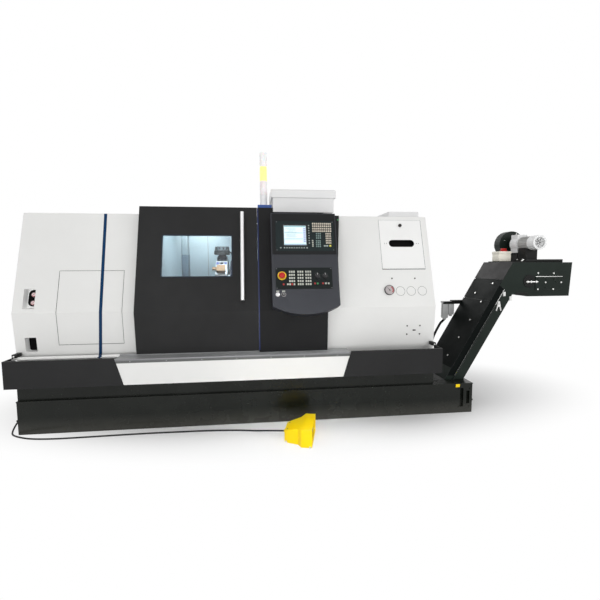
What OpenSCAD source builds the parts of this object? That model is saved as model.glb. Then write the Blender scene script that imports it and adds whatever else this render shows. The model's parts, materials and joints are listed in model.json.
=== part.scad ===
// Slant-bed turning lathe with a sliding guard door, a control panel, a turret,
// a tailstock, a swarf conveyor and a twin foot switch. Millimetres, +Z up.
// The working coordinates measure Y from the front of the drip tray; in_frame()
// moves them so that the origin lies on the floor under the middle of the machine.

/* [Enclosure] */
// Half of the length of the drip tray
tray_half = 1905; // [1850:5:1960]
// Space behind the work area's back wall, up to the rear cover
rear_space = 330; // [300:5:360]
// Height of the white cabinets
cabinet_z = 1958; // [1940:2:1980]
// Height of the door and of the control column
door_top_z = 2020; // [2010:2:2040]
// Height of the fold across the front covers
crease_z = 1067; // [1055:1:1080]
// Lean of the front covers above the fold, degrees
lean = 17.5; // [17:0.1:18]
// Distance of the white covers' fold behind the tray's front
cover_y = 188; // [180:1:200]
// Sheet thickness of the covers
sheet = 4; // [3:0.5:5]

/* [Drip tray and base] */
// Bottom of the drip tray
tray_z0 = 456; // [440:2:470]
// Top of the dark tray ends
tray_z1 = 690; // [685:1:695]
// Half of the length of the white middle of the tray, at its top
tray_mid_half = 1029; // [1000:2:1050]
// Height of the coolant tank
tank_h = 300; // [295:1:310]
// Front of the tank behind the tray's front
tank_y = 150; // [140:2:160]
// Length of the tank past the end of the tray, under the conveyor
tank_ext = 400; // [390:2:420]

/* [Door] */
// Left edge of the door
door_x0 = -880; // [-890:1:-870]
// Right edge of the door
door_x1 = 195; // [190:1:197]
// Distance of the door's fold behind the tray's front
door_y = 94; // [88:1:100]
// Width of the window
window_w = 620; // [560:5:640]
// Height of the window, measured up the leaning face
window_h = 392; // [340:4:410]
// Length of the door's handle
handle_l = 840; // [780:5:860]

/* [Spindle and turret] */
// Height of the spindle axis
spindle_z = 1080; // [1075:1:1085]
// Distance of the spindle axis behind the tray's front
spindle_y = 780; // [775:1:785]
// Diameter of the chuck
chuck_d = 400; // [380:5:420]
// Bore through the chuck and the spindle
bar_d = 105; // [90:1:112]
// Slope of the bed, degrees
slant = 30; // [29:0.5:31]
// Size of the turret disc across its corners
turret_d = 420; // [400:5:430]
// Bore of a tool station in the turret disc
station_d = 40; // [30:1:50]
// Depth of a tool station's bore
station_depth = 80; // [60:2:90]
// Distance of the turret axis from the spindle axis, up the slope
turret_home = 480; // [470:2:490]
// Diameter of the tailstock quill
quill_d = 150; // [140:2:160]

/* [Conveyor] */
// Front side of the conveyor behind the tray's front
conveyor_y = 280; // [276:1:284]
// Width of the conveyor
conveyor_w = 470; // [460:2:480]
// Rise of the conveyor's incline, degrees
rise = 60; // [58:0.5:61]
// Top of the conveyor's head
head_z = 1490; // [1480:2:1500]
// Reach of the conveyor past the end of the tray
head_reach = 1530; // [1515:5:1545]
// Diameter of the sprockets on the head shaft
sprocket_d = 170; // [160:2:180]

/* [Foot switch] */
// Length of the foot switch
pedal_l = 240; // [230:2:250]
// Width of the foot switch at its mouth
pedal_w = 350; // [340:2:360]
// Height of the foot switch
pedal_h = 147; // [142:1:155]
// Diameter of the foot switch's cable
cable_d = 14; // [12:0.5:16]

/* [Hidden] */
$fn = 48;
// Gap between faces that slide or turn on each other
gap = 0.3;
// Width of the seams between covers
seam = 3;
lean_tan = tan(lean);
low_tan = 0.08;
tray_sheet = 6;
// Film between faces that are glued or screwed on each other
seat = 0.1;

// Layout in depth: the tank, the sloping bed behind it, the turret slide at rest and the walls behind that

trough_gap = 4;
trough_y0 = conveyor_y - trough_gap;
trough_y1 = conveyor_y + conveyor_w + trough_gap;
tank_back = trough_y1 + 36;
bed_y = tank_back + 15;
bed_z = 600;
axis_dy = spindle_y - bed_y;
axis_dz = spindle_z - bed_z;
// The spindle axis in the bed's frame: up the slope, and off its face
axis_s = axis_dy * cos(slant) + axis_dz * sin(slant);
axis_h = -axis_dy * sin(slant) + axis_dz * cos(slant);
turret_s = axis_s + turret_home;
saddle_h = 130;
slide_up = 180;
slide_room = 119;
back_wall_y = round(bed_y + (turret_s + slide_up) * cos(slant) - saddle_h * sin(slant)) + slide_room;
machine_d = back_wall_y + rear_space;

// Y of a front cover at height z, for a cover whose fold lies at fold_y
function front_y(fold_y, z) =
    fold_y + (z < crease_z ? (crease_z - z) * low_tan : (z - crease_z) * lean_tan);
// Outline of a sheet that follows the front's profile between two heights
function front_outline(fold_y, z0, z1, t) = let (zs = z0 < crease_z && z1 > crease_z
    ? [z0, crease_z, z1] : [z0, z1]) concat(
    [for (z = zs) [front_y(fold_y, z), z]],
    [for (i = [len(zs) - 1 : -1 : 0]) [front_y(fold_y, zs[i]) + t, zs[i]]]);

module in_frame() { translate([0, -machine_d / 2, 0]) children(); }
// A YZ outline drawn out along X
module along_x(x0, x1) {
    translate([x0, 0, 0]) rotate([90, 0, 90]) linear_extrude(x1 - x0) children();
}
// An XZ outline drawn out along Y
module along_y(y0, y1) {
    translate([0, y1, 0]) rotate([90, 0, 0]) linear_extrude(y1 - y0) children();
}
module box(p0, p1) { translate(p0) cube(p1 - p0); }
// A cylinder along X between two points
module rod_x(x0, x1, y, z, r) { translate([x0, y, z]) rotate([0, 90, 0]) cylinder(r = r, h = x1 - x0); }
// A cylinder along Y between two points
module rod_y(y0, y1, x, z, r) { translate([x, y1, z]) rotate([90, 0, 0]) cylinder(r = r, h = y1 - y0); }
// Local frame on a leaning face: X across, Y up the face, Z out of it
module on_face(x, z, fold_y) {
    translate([x, front_y(fold_y, z), z]) rotate([90 - lean, 0, 0]) children();
}
module front_sheet(x0, x1, fold_y, z0, z1, t) {
    along_x(x0, x1) polygon(front_outline(fold_y, z0, z1, t));
}
// Flat rectangle with round corners, on its centre
module round_rect(w, h, r) {
    square([w - 2 * r, h], center = true);
    square([w, h - 2 * r], center = true);
    for (x = [-1, 1], y = [-1, 1]) translate([x * (w / 2 - r), y * (h / 2 - r)]) circle(r);
}

// Base: the coolant tank with its swarf trough, and the bed

trough_x0 = -1000;
trough_floor = 20;
tank_x1 = tray_half + tank_ext;
tank_wall = 14;
band_y = tank_y + 22;
lug = [46, 60, 14];
lug_z = 96;
pump_slot = [34, 12, 130];

module base_tank() color("#2c2d2b") {
    difference() {
        union() {
            box([-tray_half, tank_y, 0], [tank_x1, tank_back, tank_h]);
            // Lip along the front of the tank
            box([-tray_half, tank_y - 8, tank_h - 10], [tank_x1, tank_y, tank_h]);
            // Upright band behind the tray
            box([-tray_half, band_y, tank_h], [tray_half, band_y + tray_sheet, tray_z0 + 120]);
            for (side = [-1, 1]) tank_lug(side);
        }
        box([trough_x0, trough_y0, trough_floor], [tank_x1 - tank_wall, trough_y1, tank_h + 1]);
        // Recess and slot at the pump end
        box([tank_x1 - 130, tank_y - 9, 60], [tank_x1 - 92, tank_y + 30, tank_h - 50]);
        translate([tank_x1 - 62, tank_y - 9, 90]) cube(pump_slot + [0, 30, 0]);
    }
}
module tank_lug(side) {
    edge = side < 0 ? -tray_half - lug[0] : tank_x1;
    translate([edge, tank_y + 60, lug_z]) cube(lug);
}

bed_back = machine_d - 100;
bed_x = tray_half - 125;
bed_top_y = machine_d - 170;
foot_x = bed_x + 50;
foot_pad = [100, 110, 30];
foot_hole = 13;
foot_ys = [bed_y + 90, bed_back - 90];
rib = 60;
pockets = 7;
pocket_w = (2 * bed_x - rib * (pockets + 1)) / pockets;
rail = [45, 40];
rail_s = [120, 760];
rail_x0 = -700;
rail_x1 = bed_x - 80;
screw_s = 440;
screw_h = -38;
screw_r = 20;
groove = [130, 96];

function slope_z(y) = bed_z + (y - bed_y) * tan(slant);
// Local frame on the bed: X along it, Y up the slope, Z off its face
module on_bed() { translate([0, bed_y, bed_z]) rotate([slant, 0, 0]) children(); }
// A solid in the bed's frame from an outline of slope and height, along X
module bed_prism(x0, x1) { on_bed() along_x(x0, x1) children(); }

module bed_casting() color("#4a4e50") {
    difference() {
        union() {
            along_x(-bed_x, bed_x) polygon([
                [bed_y, 0], [bed_y, bed_z], [bed_top_y, slope_z(bed_top_y)],
                [bed_back, slope_z(bed_top_y)], [bed_back, 0]]);
            for (side = [-1, 1], y = foot_ys) foot_pad_at(side, y);
        }
        // Pockets between the ribs, open at the back
        for (i = [0 : pockets - 1])
            along_x(-bed_x + rib + i * (pocket_w + rib), -bed_x + (i + 1) * (pocket_w + rib))
                polygon([[bed_y + rib, rib], [bed_y + rib, bed_z - rib - 40],
                    [bed_top_y, slope_z(bed_top_y) - rib - 120],
                    [bed_back + 1, slope_z(bed_top_y) - rib - 120], [bed_back + 1, rib]]);
        // Groove for the screw
        bed_prism(rail_x0 - 40, rail_x1 + 40) translate([screw_s - groove[0] / 2, -groove[1]])
            square([groove[0], groove[1] + 1]);
        for (side = [-1, 1], y = foot_ys)
            translate([side * foot_x, y, -1]) cylinder(r = foot_hole, h = foot_pad[2] + 2);
    }
    for (s = rail_s) bed_prism(rail_x0, rail_x1) translate([s - rail[0] / 2, 0]) square(rail);
    for (x = [rail_x0 - 40, rail_x1]) screw_bearing(x);
}
module foot_pad_at(side, y) {
    translate([side * foot_x - foot_pad[0] / 2, y - foot_pad[1] / 2, 0]) cube(foot_pad);
}
module screw_bearing(x) {
    on_bed() difference() {
        translate([x, screw_s - groove[0] / 2, -groove[1]]) cube([40, groove[0], groove[1]]);
        rod_x(x - 1, x + 41, screw_s, screw_h, screw_r + gap);
    }
}
module z_screw() color("#b9bcbe") on_bed() {
    rod_x(rail_x0 - 38, rail_x1 + 38, screw_s, screw_h, screw_r);
}

// Drip tray and door rail

tray_slope = 68;
tray_mid_top = tray_z1 - 45;
rail_top = tray_z1 - 10;
tray_mid_y = 6;

// Front plate of one dark end, with its mitred inner edge
module tray_end(side) {
    along_y(0, tray_sheet) polygon([
        [side * tray_half, tray_z0], [side * tray_half, tray_z1],
        [side * tray_mid_half, tray_z1], [side * (tray_mid_half - tray_slope), tray_z0]]);
    x0 = side < 0 ? -tray_half : tray_mid_half;
    box([x0, tray_sheet, tray_z0], [x0 + tray_half - tray_mid_half, band_y, tray_z0 + tray_sheet]);
    e = side < 0 ? -tray_half : tray_half - tray_sheet;
    box([e, tray_sheet, tray_z0 + tray_sheet], [e + tray_sheet, band_y, tray_z1]);
    // Folded top flange
    f = side < 0 ? -tray_half + tray_sheet : tray_mid_half + 4;
    box([f, tray_sheet, tray_z1 - tray_sheet],
        [f + tray_half - tray_mid_half - 10, tray_sheet + 14, tray_z1]);
}
module tray_ends() color("#303133") for (side = [-1, 1]) tray_end(side);
module tray_centre() color("#ecece8") {
    along_y(tray_mid_y, tray_mid_y + tray_sheet) polygon([
        [-tray_mid_half + tray_slope + seam, tray_z0], [-tray_mid_half + seam + 13, tray_mid_top],
        [tray_mid_half - seam - 13, tray_mid_top], [tray_mid_half - tray_slope - seam, tray_z0]]);
    inner = tray_mid_half - tray_slope - seam;
    box([-inner, tray_mid_y + tray_sheet, tray_z0], [inner, band_y, tray_z0 + tray_sheet]);
}
guide_y = front_y(door_y, tray_z1) + 16;
module door_rail() color("#8f9194") {
    l = tray_mid_half - seam;
    box([-l, tray_mid_y + 1, tray_mid_top], [l, tray_mid_y + 1 + tray_sheet, rail_top]);
    box([-l, tray_mid_y + 1, rail_top - tray_sheet], [l, band_y, rail_top]);
    box([-l, band_y - tray_sheet, tray_z0 + 120], [l, band_y, rail_top]);
    // Raised guide that carries the door
    box([-tray_half + tray_sheet, guide_y, rail_top], [door_x1, guide_y + 12, door_z0 - gap]);
    box([-tray_half + tray_sheet, guide_y - 30, rail_top - tray_sheet], [-l, band_y, rail_top]);
}

// Front covers

cover_z0 = tray_z0 + 120;
cover_x = tray_half + 10;
cover_in_x0 = -cover_x + sheet;
cover_left_x1 = -845;
cover_return = 40;
column_x0 = door_x1 + 6;
column_x1 = 833;
panel_x = [-cover_x + 358, cover_left_x1 - 162];
panel_z = [778, 1430];
recess_x = [-cover_x + 82, -cover_x + 176];
recess_zs = [[1103, 1273], [724, 850]];
recess_depth = 70;
lid_x = cover_x - 283;
lid_w = 436;
lid_z = [1430, 1919];
lid_frame = 22;

module headstock_cover() color("#e8e8e6") {
    difference() {
        front_sheet(cover_in_x0, cover_left_x1, cover_y, cover_z0, cabinet_z, sheet);
        box([panel_x[0], 0, panel_z[0]], [panel_x[1], 600, panel_z[1]]);
        for (z = recess_zs) box([recess_x[0], 0, z[0]], [recess_x[1], 600, z[1]]);
    }
    // Return behind the door
    front_sheet(cover_left_x1 - sheet, cover_left_x1, cover_y + sheet, cover_z0, roof_z - gap, cover_return);
    for (z = recess_zs) recess_cup(z);
}
// Five-sided pocket behind a gauge opening
module recess_cup(z) {
    difference() {
        front_sheet(recess_x[0] - sheet, recess_x[1] + sheet, cover_y,
            z[0] - sheet, z[1] + sheet, recess_depth);
        front_sheet(recess_x[0], recess_x[1], cover_y - 20, z[0], z[1], recess_depth + 20 - sheet);
        front_sheet(recess_x[0] - 10, recess_x[1] + 10, cover_y - 20, z[0] - 40, z[1] + 40, 20 + sheet);
    }
}
module headstock_panel() color("#e4e4e2") {
    front_sheet(panel_x[0] + seam, panel_x[1] - seam, cover_y, panel_z[0] + seam, panel_z[1] - seam, sheet);
    // Hidden flange that the panel hangs from
    front_sheet(panel_x[0] - 15, panel_x[1] + 15, cover_y + sheet + seat,
        panel_z[1] - 30, panel_z[1] + 15, 2);
}
plug_xs = [cover_x - 340, cover_x - 232, cover_x - 119];
plug_z = 1216;
plug_d = 92;
gauge_x = cover_x - 454;
gauge_z = 1225;
gauge_d = 96;

module tailstock_cover() color("#e8e8e6") {
    difference() {
        front_sheet(column_x1, cover_x - sheet, cover_y, cover_z0, cabinet_z, sheet);
        box([lid_x - lid_w / 2 + lid_frame, 0, lid_z[0] + lid_frame],
            [lid_x + lid_w / 2 - lid_frame, 700, lid_z[1] - lid_frame]);
        on_face(gauge_x, gauge_z, cover_y) cylinder(d = 40, h = 60, center = true);
        // Round knock-outs, scored into the sheet
        for (x = plug_xs) on_face(x, plug_z, cover_y) difference() {
            cylinder(d = plug_d, h = 2, center = true);
            cylinder(d = plug_d - 6, h = 4, center = true);
        }
    }
}
notch_x = 346;
notch_z = door_top_z - 40;
ledge_d = 190;
module column_panel() color("#303133") {
    z0 = rail_top + gap;
    front_sheet(column_x0, notch_x, door_y, z0, door_top_z, sheet);
    front_sheet(notch_x, column_x1, door_y, z0, notch_z, sheet);
    for (x = [[column_x0, door_top_z], [column_x1 - sheet, notch_z]])
        front_sheet(x[0], x[0] + sheet, door_y + sheet, z0, x[1], cover_y - door_y - sheet - gap);
    // Ledge that carries the signal tower
    top_y = front_y(door_y, door_top_z) + sheet / 2;
    box([column_x0 + sheet / 2, top_y, door_top_z - sheet], [notch_x, top_y + ledge_d, door_top_z]);
}
roof_z = cabinet_z - 20;
roof_y = front_y(cover_y, roof_z) + sheet + 3;
module roof_panel() color("#dcdcda") {
    box([cover_in_x0, roof_y, roof_z], [-cover_in_x0, machine_d - sheet, roof_z + sheet]);
    // Stiffening swages pressed into the roof
    for (x = [-swage_end : 500 : swage_end])
        box([x - 40, roof_y + 600, roof_z + sheet], [x + 40, machine_d - 120, roof_z + sheet + 6]);
    // Low hatch over the tailstock
    box([hatch_x[0], roof_y + 110, roof_z + sheet], [hatch_x[1], roof_y + 480, cabinet_z + hatch_h]);
}
swage_end = cover_x - 415;
hatch_x = [cover_x - 349, cover_x - 25];
hatch_h = 66;
end_outline = concat(
    [[front_y(cover_y, cover_z0), tank_h + seam]],
    [for (z = [cover_z0, crease_z, cabinet_z]) [front_y(cover_y, z), z]],
    [[machine_d, cabinet_z], [machine_d, tank_h + seam]]);
bar_hole_d = 160;
module outer_covers() color("#e2e2e0") {
    difference() {
        along_x(-cover_x, cover_in_x0) polygon(end_outline);
        // Opening for bar stock behind the spindle
        rod_x(-cover_x - 1, cover_in_x0 + 1, spindle_y, spindle_z, bar_hole_d / 2);
    }
    along_x(-cover_in_x0, cover_x) polygon(end_outline);
    box([cover_in_x0, machine_d - sheet, tank_h + seam], [-cover_in_x0, machine_d, cabinet_z]);
}
wall_x = -720;
end_wall_x = bed_x;
wall_hole = chuck_d + 40;
module chamber_liner() color("#cfdde4") {
    difference() {
        side_wall(wall_x);
        rod_x(wall_x - 10, wall_x + 10, spindle_y, spindle_z, wall_hole / 2);
    }
    side_wall(end_wall_x);
    box([wall_x + sheet, back_wall_y, slope_z(back_wall_y) + 90],
        [end_wall_x, back_wall_y + sheet, roof_z - gap]);
}
// Upright partition of the work area, over the bed
module side_wall(x) {
    y0 = front_y(cover_y, cover_z0) + 20;
    y1 = front_y(cover_y, roof_z) + 30;
    along_x(x, x + sheet) polygon([
        [y0, cover_z0], [y0, crease_z], [y1, roof_z - gap], [back_wall_y + sheet, roof_z - gap],
        [back_wall_y + sheet, slope_z(back_wall_y + sheet) + 2],
        [bed_y - 5, bed_z + 2], [bed_y - 5, tank_h + 10],
        [trough_y1 + 10, tank_h + 10], [trough_y1 + 10, cover_z0]]);
}
cabinet_x = [300, cover_x - 215];
cabinet_d = 320;
cabinet_zs = [500, 1900];
module electrical_cabinet() color("#dededc") {
    difference() {
        box([cabinet_x[0], machine_d, cabinet_zs[0]], [cabinet_x[1], machine_d + cabinet_d, cabinet_zs[1]]);
        // Seam between the two doors and the louvres
        box([(cabinet_x[0] + cabinet_x[1]) / 2 - 2, machine_d + cabinet_d - 6, cabinet_zs[0] + 20],
            [(cabinet_x[0] + cabinet_x[1]) / 2 + 2, machine_d + cabinet_d + 1, cabinet_zs[1] - 20]);
        for (x = [cabinet_x[0] + 240, cabinet_x[1] - 440], i = [0 : 6])
            box([x, machine_d + cabinet_d - 8, cabinet_zs[0] + 120 + i * 28],
                [x + 200, machine_d + cabinet_d + 1, cabinet_zs[0] + 132 + i * 28]);
    }
}

// Gauges in the covers

small_gauge_d = 46;
small_gauge_zs = [1213, 1142];
module gauge(d, depth) {
    cylinder(d = d, h = depth);
    translate([0, 0, depth]) difference() {
        cylinder(d = d, h = 4);
        translate([0, 0, -1]) cylinder(d = d - 8, h = 6);
    }
}
module pressure_gauges() color("#c9c9c9") {
    x = (recess_x[0] + recess_x[1]) / 2 + 18;
    for (z = small_gauge_zs) on_face(x, z, cover_y + recess_depth - sheet * 1.05) gauge(small_gauge_d, 30);
    on_face(gauge_x, gauge_z, cover_y) {
        gauge(gauge_d, 14);
        translate([0, 0, -44]) cylinder(d = 40 - gap, h = 44);
    }
}

// Lid over the tailstock, with its latch

lid_t = 3;
lid_lift = gap;
slot_w = 262;
slot_h = 74;
slot_z = 1683;
slot_depth = 28;
latch_z = 1865;
hinge_r = 5;
lid_h = (lid_z[1] - lid_z[0]) / cos(lean);
module inspection_door() color("#e9e9e7") on_face(lid_x, lid_z[0], cover_y) translate([0, 0, lid_lift]) {
    slot_up = (slot_z - lid_z[0]) / cos(lean);
    latch_up = (latch_z - lid_z[0]) / cos(lean);
    difference() {
        translate([-lid_w / 2, 2 * hinge_r + 2, 0]) cube([lid_w, lid_h - 2 * hinge_r - 2, lid_t]);
        translate([0, slot_up, -1]) linear_extrude(lid_t + 2) round_rect(slot_w, slot_h, slot_h / 2 - 0.5);
        translate([0, latch_up, -1]) cylinder(r = latch_r + gap, h = lid_t + 2);
    }
    // Cup behind the grip slot
    translate([0, slot_up, -slot_depth]) difference() {
        linear_extrude(slot_depth) round_rect(slot_w + 6, slot_h + 6, slot_h / 2 + 2.5);
        translate([0, 0, 2]) linear_extrude(slot_depth) round_rect(slot_w, slot_h, slot_h / 2 - 0.5);
    }
    // Hinge barrel along the lower edge, with its web
    translate([-lid_w / 2, hinge_r, hinge_r]) rotate([0, 90, 0]) cylinder(r = hinge_r, h = lid_w);
    translate([-lid_w / 2, hinge_r + 2, 0]) cube([lid_w, hinge_r + 1, lid_t]);
}
latch_r = 7;
latch_reach = 9;
module latch_knob() color("#8a8c8e") on_face(lid_x, latch_z, cover_y) translate([0, 0, lid_lift]) {
    translate([0, 0, lid_t + gap]) cylinder(r = 17, h = 8);
    translate([0, 0, -latch_reach]) cylinder(r = latch_r, h = latch_reach + lid_t + gap + 1);
    // Cam, which lies to the side when the latch is free and behind the cover when it is turned
    translate([-8, -8, -latch_reach]) cube([56, 16, 4]);
    translate([-14, -2.5, lid_t + gap + 8]) cube([28, 5, 7]);
}

// Sliding door

door_z0 = tray_z1 + 4;
door_edge = 26;
door_d = 42;
window_x = (-661 - 40) / 2;
window_z = 1560;
handle_x = 58;
handle_z = 1146;
handle_r = 17;
handle_off = 62;
glass_t = 8;
module window_hole(extra, depth) {
    on_face(window_x, window_z, door_y) linear_extrude(depth, center = true)
        round_rect(window_w + 2 * extra, window_h + 2 * extra, 12);
}
module door_panel() color("#333436") {
    difference() {
        union() {
            front_sheet(door_x0, door_x1, door_y, door_z0, door_top_z, sheet);
            for (x = [door_x0, door_x1 - door_edge])
                front_sheet(x, x + door_edge, door_y, door_z0, door_top_z, door_d);
            front_sheet(door_x0, door_x1, door_y, door_top_z - door_edge, door_top_z, door_d);
            front_sheet(door_x0, door_x1, door_y, door_z0, door_z0 + door_edge, door_d);
            front_sheet(door_x0, door_x1, door_y, crease_z - 14, crease_z + 14, door_d / 2);
            intersection() {
                window_hole(34, 200);
                front_sheet(door_x0, door_x1, door_y, crease_z + 20, door_top_z, door_d / 2);
            }
        }
        window_hole(0, 300);
        // Seat for the glass, from behind
        on_face(window_x, window_z, door_y) translate([0, 0, -door_d]) linear_extrude(door_d - sheet - 5)
            round_rect(window_w + 30, window_h + 30, 12);
        for (end = [0, 1]) door_handle_axis(end) translate([0, 0, -60]) cylinder(r = 6, h = 90);
    }
}
module door_window() color("#c8dfe8", 0.35) on_face(window_x, window_z, door_y)
    translate([0, 0, -sheet - 5 - glass_t]) linear_extrude(glass_t)
        round_rect(window_w + 28, window_h + 28, 11);
// Axis of a handle foot, out of the door's face
module door_handle_axis(end) {
    on_face(handle_x, handle_z, door_y) translate([0, 45 + end * (handle_l - 90), 0]) children();
}
module door_handle() color("#d8d8da") {
    on_face(handle_x, handle_z, door_y) translate([0, 0, handle_off]) rotate([-90, 0, 0])
        cylinder(r = handle_r, h = handle_l);
    for (end = [0, 1]) door_handle_axis(end) {
        cylinder(r = 11, h = handle_off);
        translate([0, 0, -sheet - 6]) cylinder(r = 6 - gap / 2, h = sheet + 7);
    }
}

// Control panel

housing_x0 = 320;
housing_x1 = 925;
housing_z0 = 1115;
housing_z1 = 1953;
housing_y = door_y - 120;
housing_sag = 78;
housing_w = housing_x1 - housing_x0;
housing_h = (housing_z1 - housing_z0) / cos(lean);
face_y = housing_y;
housing_mid = (housing_x0 + housing_x1) / 2;
housing_wall = 5;
panel_drop = 7;
operator_w = 540;
operator_h = 292;
operator_z = 1740;
mcp_w = 510;
mcp_h = 196;
mcp_z = 1354;
mcp_x = 608;
operator_x = 632;
plate_t = 6;

// Local frame of the panel's front: X across, Y up, Z out, on its middle
module on_panel(x, z) { on_face(x, z, face_y) children(); }
// Radius of the arc under the panel, from its width and its sag
arc_r = (pow(housing_w / 2, 2) + pow(housing_sag, 2)) / (2 * housing_sag);
module housing_outline(inset) {
    intersection() {
        translate([-housing_w / 2 + inset, -housing_sag])
            square([housing_w - 2 * inset, housing_h + housing_sag - inset]);
        union() {
            translate([0, arc_r - housing_sag]) circle(arc_r - inset, $fn = 160);
            translate([-housing_w / 2, 0]) square([housing_w, housing_h]);
        }
    }
}
module control_housing() color("#3a3d42") on_panel(housing_mid, housing_z0) {
    depth = (door_y - housing_y) * cos(lean);
    up = (operator_z - housing_z0) / cos(lean);
    low = (mcp_z - housing_z0) / cos(lean);
    difference() {
        translate([0, 0, -depth]) linear_extrude(depth) housing_outline(0);
        // Hollow, reached through the two cut-outs
        translate([0, 0, -depth + housing_wall]) linear_extrude(depth - 2 * housing_wall)
            housing_outline(2 * housing_wall);
        translate([operator_x - housing_mid, up, -panel_drop]) linear_extrude(depth)
            square([operator_w + 2 * gap, operator_h + 2 * gap], center = true);
        translate([operator_x - housing_mid, up, -depth / 2]) linear_extrude(depth)
            square([operator_w - 60, operator_h - 60], center = true);
        translate([mcp_x - housing_mid, low, -depth / 2]) linear_extrude(depth)
            square([mcp_w - 40, mcp_h - 40], center = true);
        switch_axis() translate([0, 0, -depth / 2]) cylinder(r = switch_r + gap, h = depth);
    }
}
switch_x = 420;
switch_z = 1214;
switch_r = 11;
module switch_axis() {
    translate([switch_x - housing_mid, (switch_z - housing_z0) / cos(lean), 0]) children();
}
screen_w = 204;
screen_h = 190;
screen_x = 540;
screen_z = 1745;
module operator_panel() color("#22292b") on_panel(operator_x, operator_z) translate([0, 0, -panel_drop]) {
    difference() {
        linear_extrude(plate_t) round_rect(operator_w, operator_h, 6);
        translate([screen_x - operator_x, (screen_z - operator_z) / cos(lean), 2])
            linear_extrude(plate_t) square([screen_w + 1, screen_h + 1], center = true);
    }
}
module screen() color("#cfe3ea") on_panel(screen_x, screen_z) translate([0, 0, 2 + seat - panel_drop])
    linear_extrude(3) square([screen_w, screen_h], center = true);
estop_x = 408;
estop_z = 1376;
knob_xs = [727, 796];
knob_z = 1372;
estop_r = 9;
knob_r = 8;
mcp_t = 4;
module machine_panel() color("#1f2322") on_panel(mcp_x, mcp_z) {
    difference() {
        linear_extrude(mcp_t) round_rect(mcp_w, mcp_h, 5);
        on_mcp(estop_x, estop_z) cylinder(r = estop_r + gap, h = 30, center = true);
        for (x = knob_xs) on_mcp(x, knob_z) cylinder(r = knob_r + gap, h = 30, center = true);
    }
    // Yellow collar round the stop button
    on_mcp(estop_x, estop_z) translate([0, 0, mcp_t]) difference() {
        cylinder(d = 78, h = 5);
        translate([0, 0, -1]) cylinder(r = estop_r + gap, h = 8);
    }
}
module on_mcp(x, z) { translate([x - mcp_x, (z - mcp_z) / cos(lean), 0]) children(); }

// Key blocks: centre, columns, rows, pitch across and up, key width and height
operator_keys = [
    [791, 1819, 10, 4, 18.3, 24.3, 14, 17], [757, 1740, 3, 3, 17, 21.3, 12, 15],
    [753, 1668, 3, 4, 16.5, 18, 12, 14], [701, 1670, 1, 4, 0, 17.3, 14, 12],
    [849, 1717, 4, 5, 13.5, 22.5, 10.5, 16], [823, 1647, 2, 1, 23, 0, 19, 14],
    [863, 1648, 1, 1, 0, 0, 18, 18], [669, 1754, 1, 8, 0, 24.5, 11, 12],
    [530, 1629, 9, 1, 22.5, 0, 13, 12], [406, 1629, 1, 1, 0, 0, 14, 12], [646, 1629, 1, 1, 0, 0, 14, 12]];
machine_keys = [
    [498, 1356, 3, 5, 19.5, 28.9, 14.5, 18], [574, 1356, 3, 5, 19.5, 28.9, 14.5, 18],
    [645, 1356, 3, 5, 19.5, 28.9, 14.5, 18], [440, 1301, 2, 1, 38, 0, 15, 16],
    [715, 1306, 2, 1, 24, 0, 15, 16], [801, 1306, 3, 1, 26, 0, 16, 16]];
key_h = 4;
module panel_keys() color("#c3c3bb") {
    for (k = operator_keys) key_block(k, plate_t - panel_drop);
    for (k = machine_keys) key_block(k, mcp_t);
}
// One rubber mat with raised keys on a plate of height lift
module key_block(k, lift) on_panel(k[0], k[1]) translate([0, 0, lift + seat]) {
    w = (k[2] - 1) * k[4] + k[6];
    h = (k[3] - 1) * k[5] + k[7];
    translate([-w / 2, -h / 2, 0]) cube([w, h, 0.8]);
    for (i = [0 : k[2] - 1], j = [0 : k[3] - 1])
        translate([-w / 2 + i * k[4], -h / 2 + j * k[5], 0.8]) cube([k[6], k[7], key_h - 0.8]);
}
module estop_button() color("#c22a1e") on_panel(estop_x, estop_z) {
    translate([0, 0, -14]) cylinder(r = estop_r, h = 14 + 22);
    translate([0, 0, 9 + 7]) cylinder(d1 = 44, d2 = 54, h = 8);
    translate([0, 0, 9 + 15]) rotate_extrude() intersection() {
        translate([0, -34]) circle(r = 43);
        square([27, 20]);
    }
}
module override_knob() {
    translate([0, 0, -14]) cylinder(r = knob_r, h = 14 + 8);
    translate([0, 0, 4 + gap]) cylinder(d1 = 52, d2 = 50, h = 5);
    translate([0, 0, 9 + gap]) cylinder(d1 = 40, d2 = 36, h = 16);
    translate([-4, -24, 9 + gap]) cube([8, 48, 18]);
}
module feed_knob() color("#18191a") on_panel(knob_xs[0], knob_z) override_knob();
module spindle_knob() color("#18191a") on_panel(knob_xs[1], knob_z) override_knob();
module mode_switch() color("#202124") on_panel(switch_x, switch_z) {
    translate([0, 0, -16]) cylinder(r = switch_r, h = 16 + 1);
    translate([0, 0, gap]) cylinder(r = 17, h = 7);
    translate([-4, -15, gap + 7]) cube([8, 30, 12]);
}

// Roof box and signal tower

roof_box_x = [350, 940];
roof_box_y = [front_y(door_y, notch_z) + sheet, 900];
roof_box_z1 = door_top_z + 95;
roof_lid_h = 85;
lid_over = 19;
roof_step_y = front_y(cover_y, cabinet_z) + sheet + 8;
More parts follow.
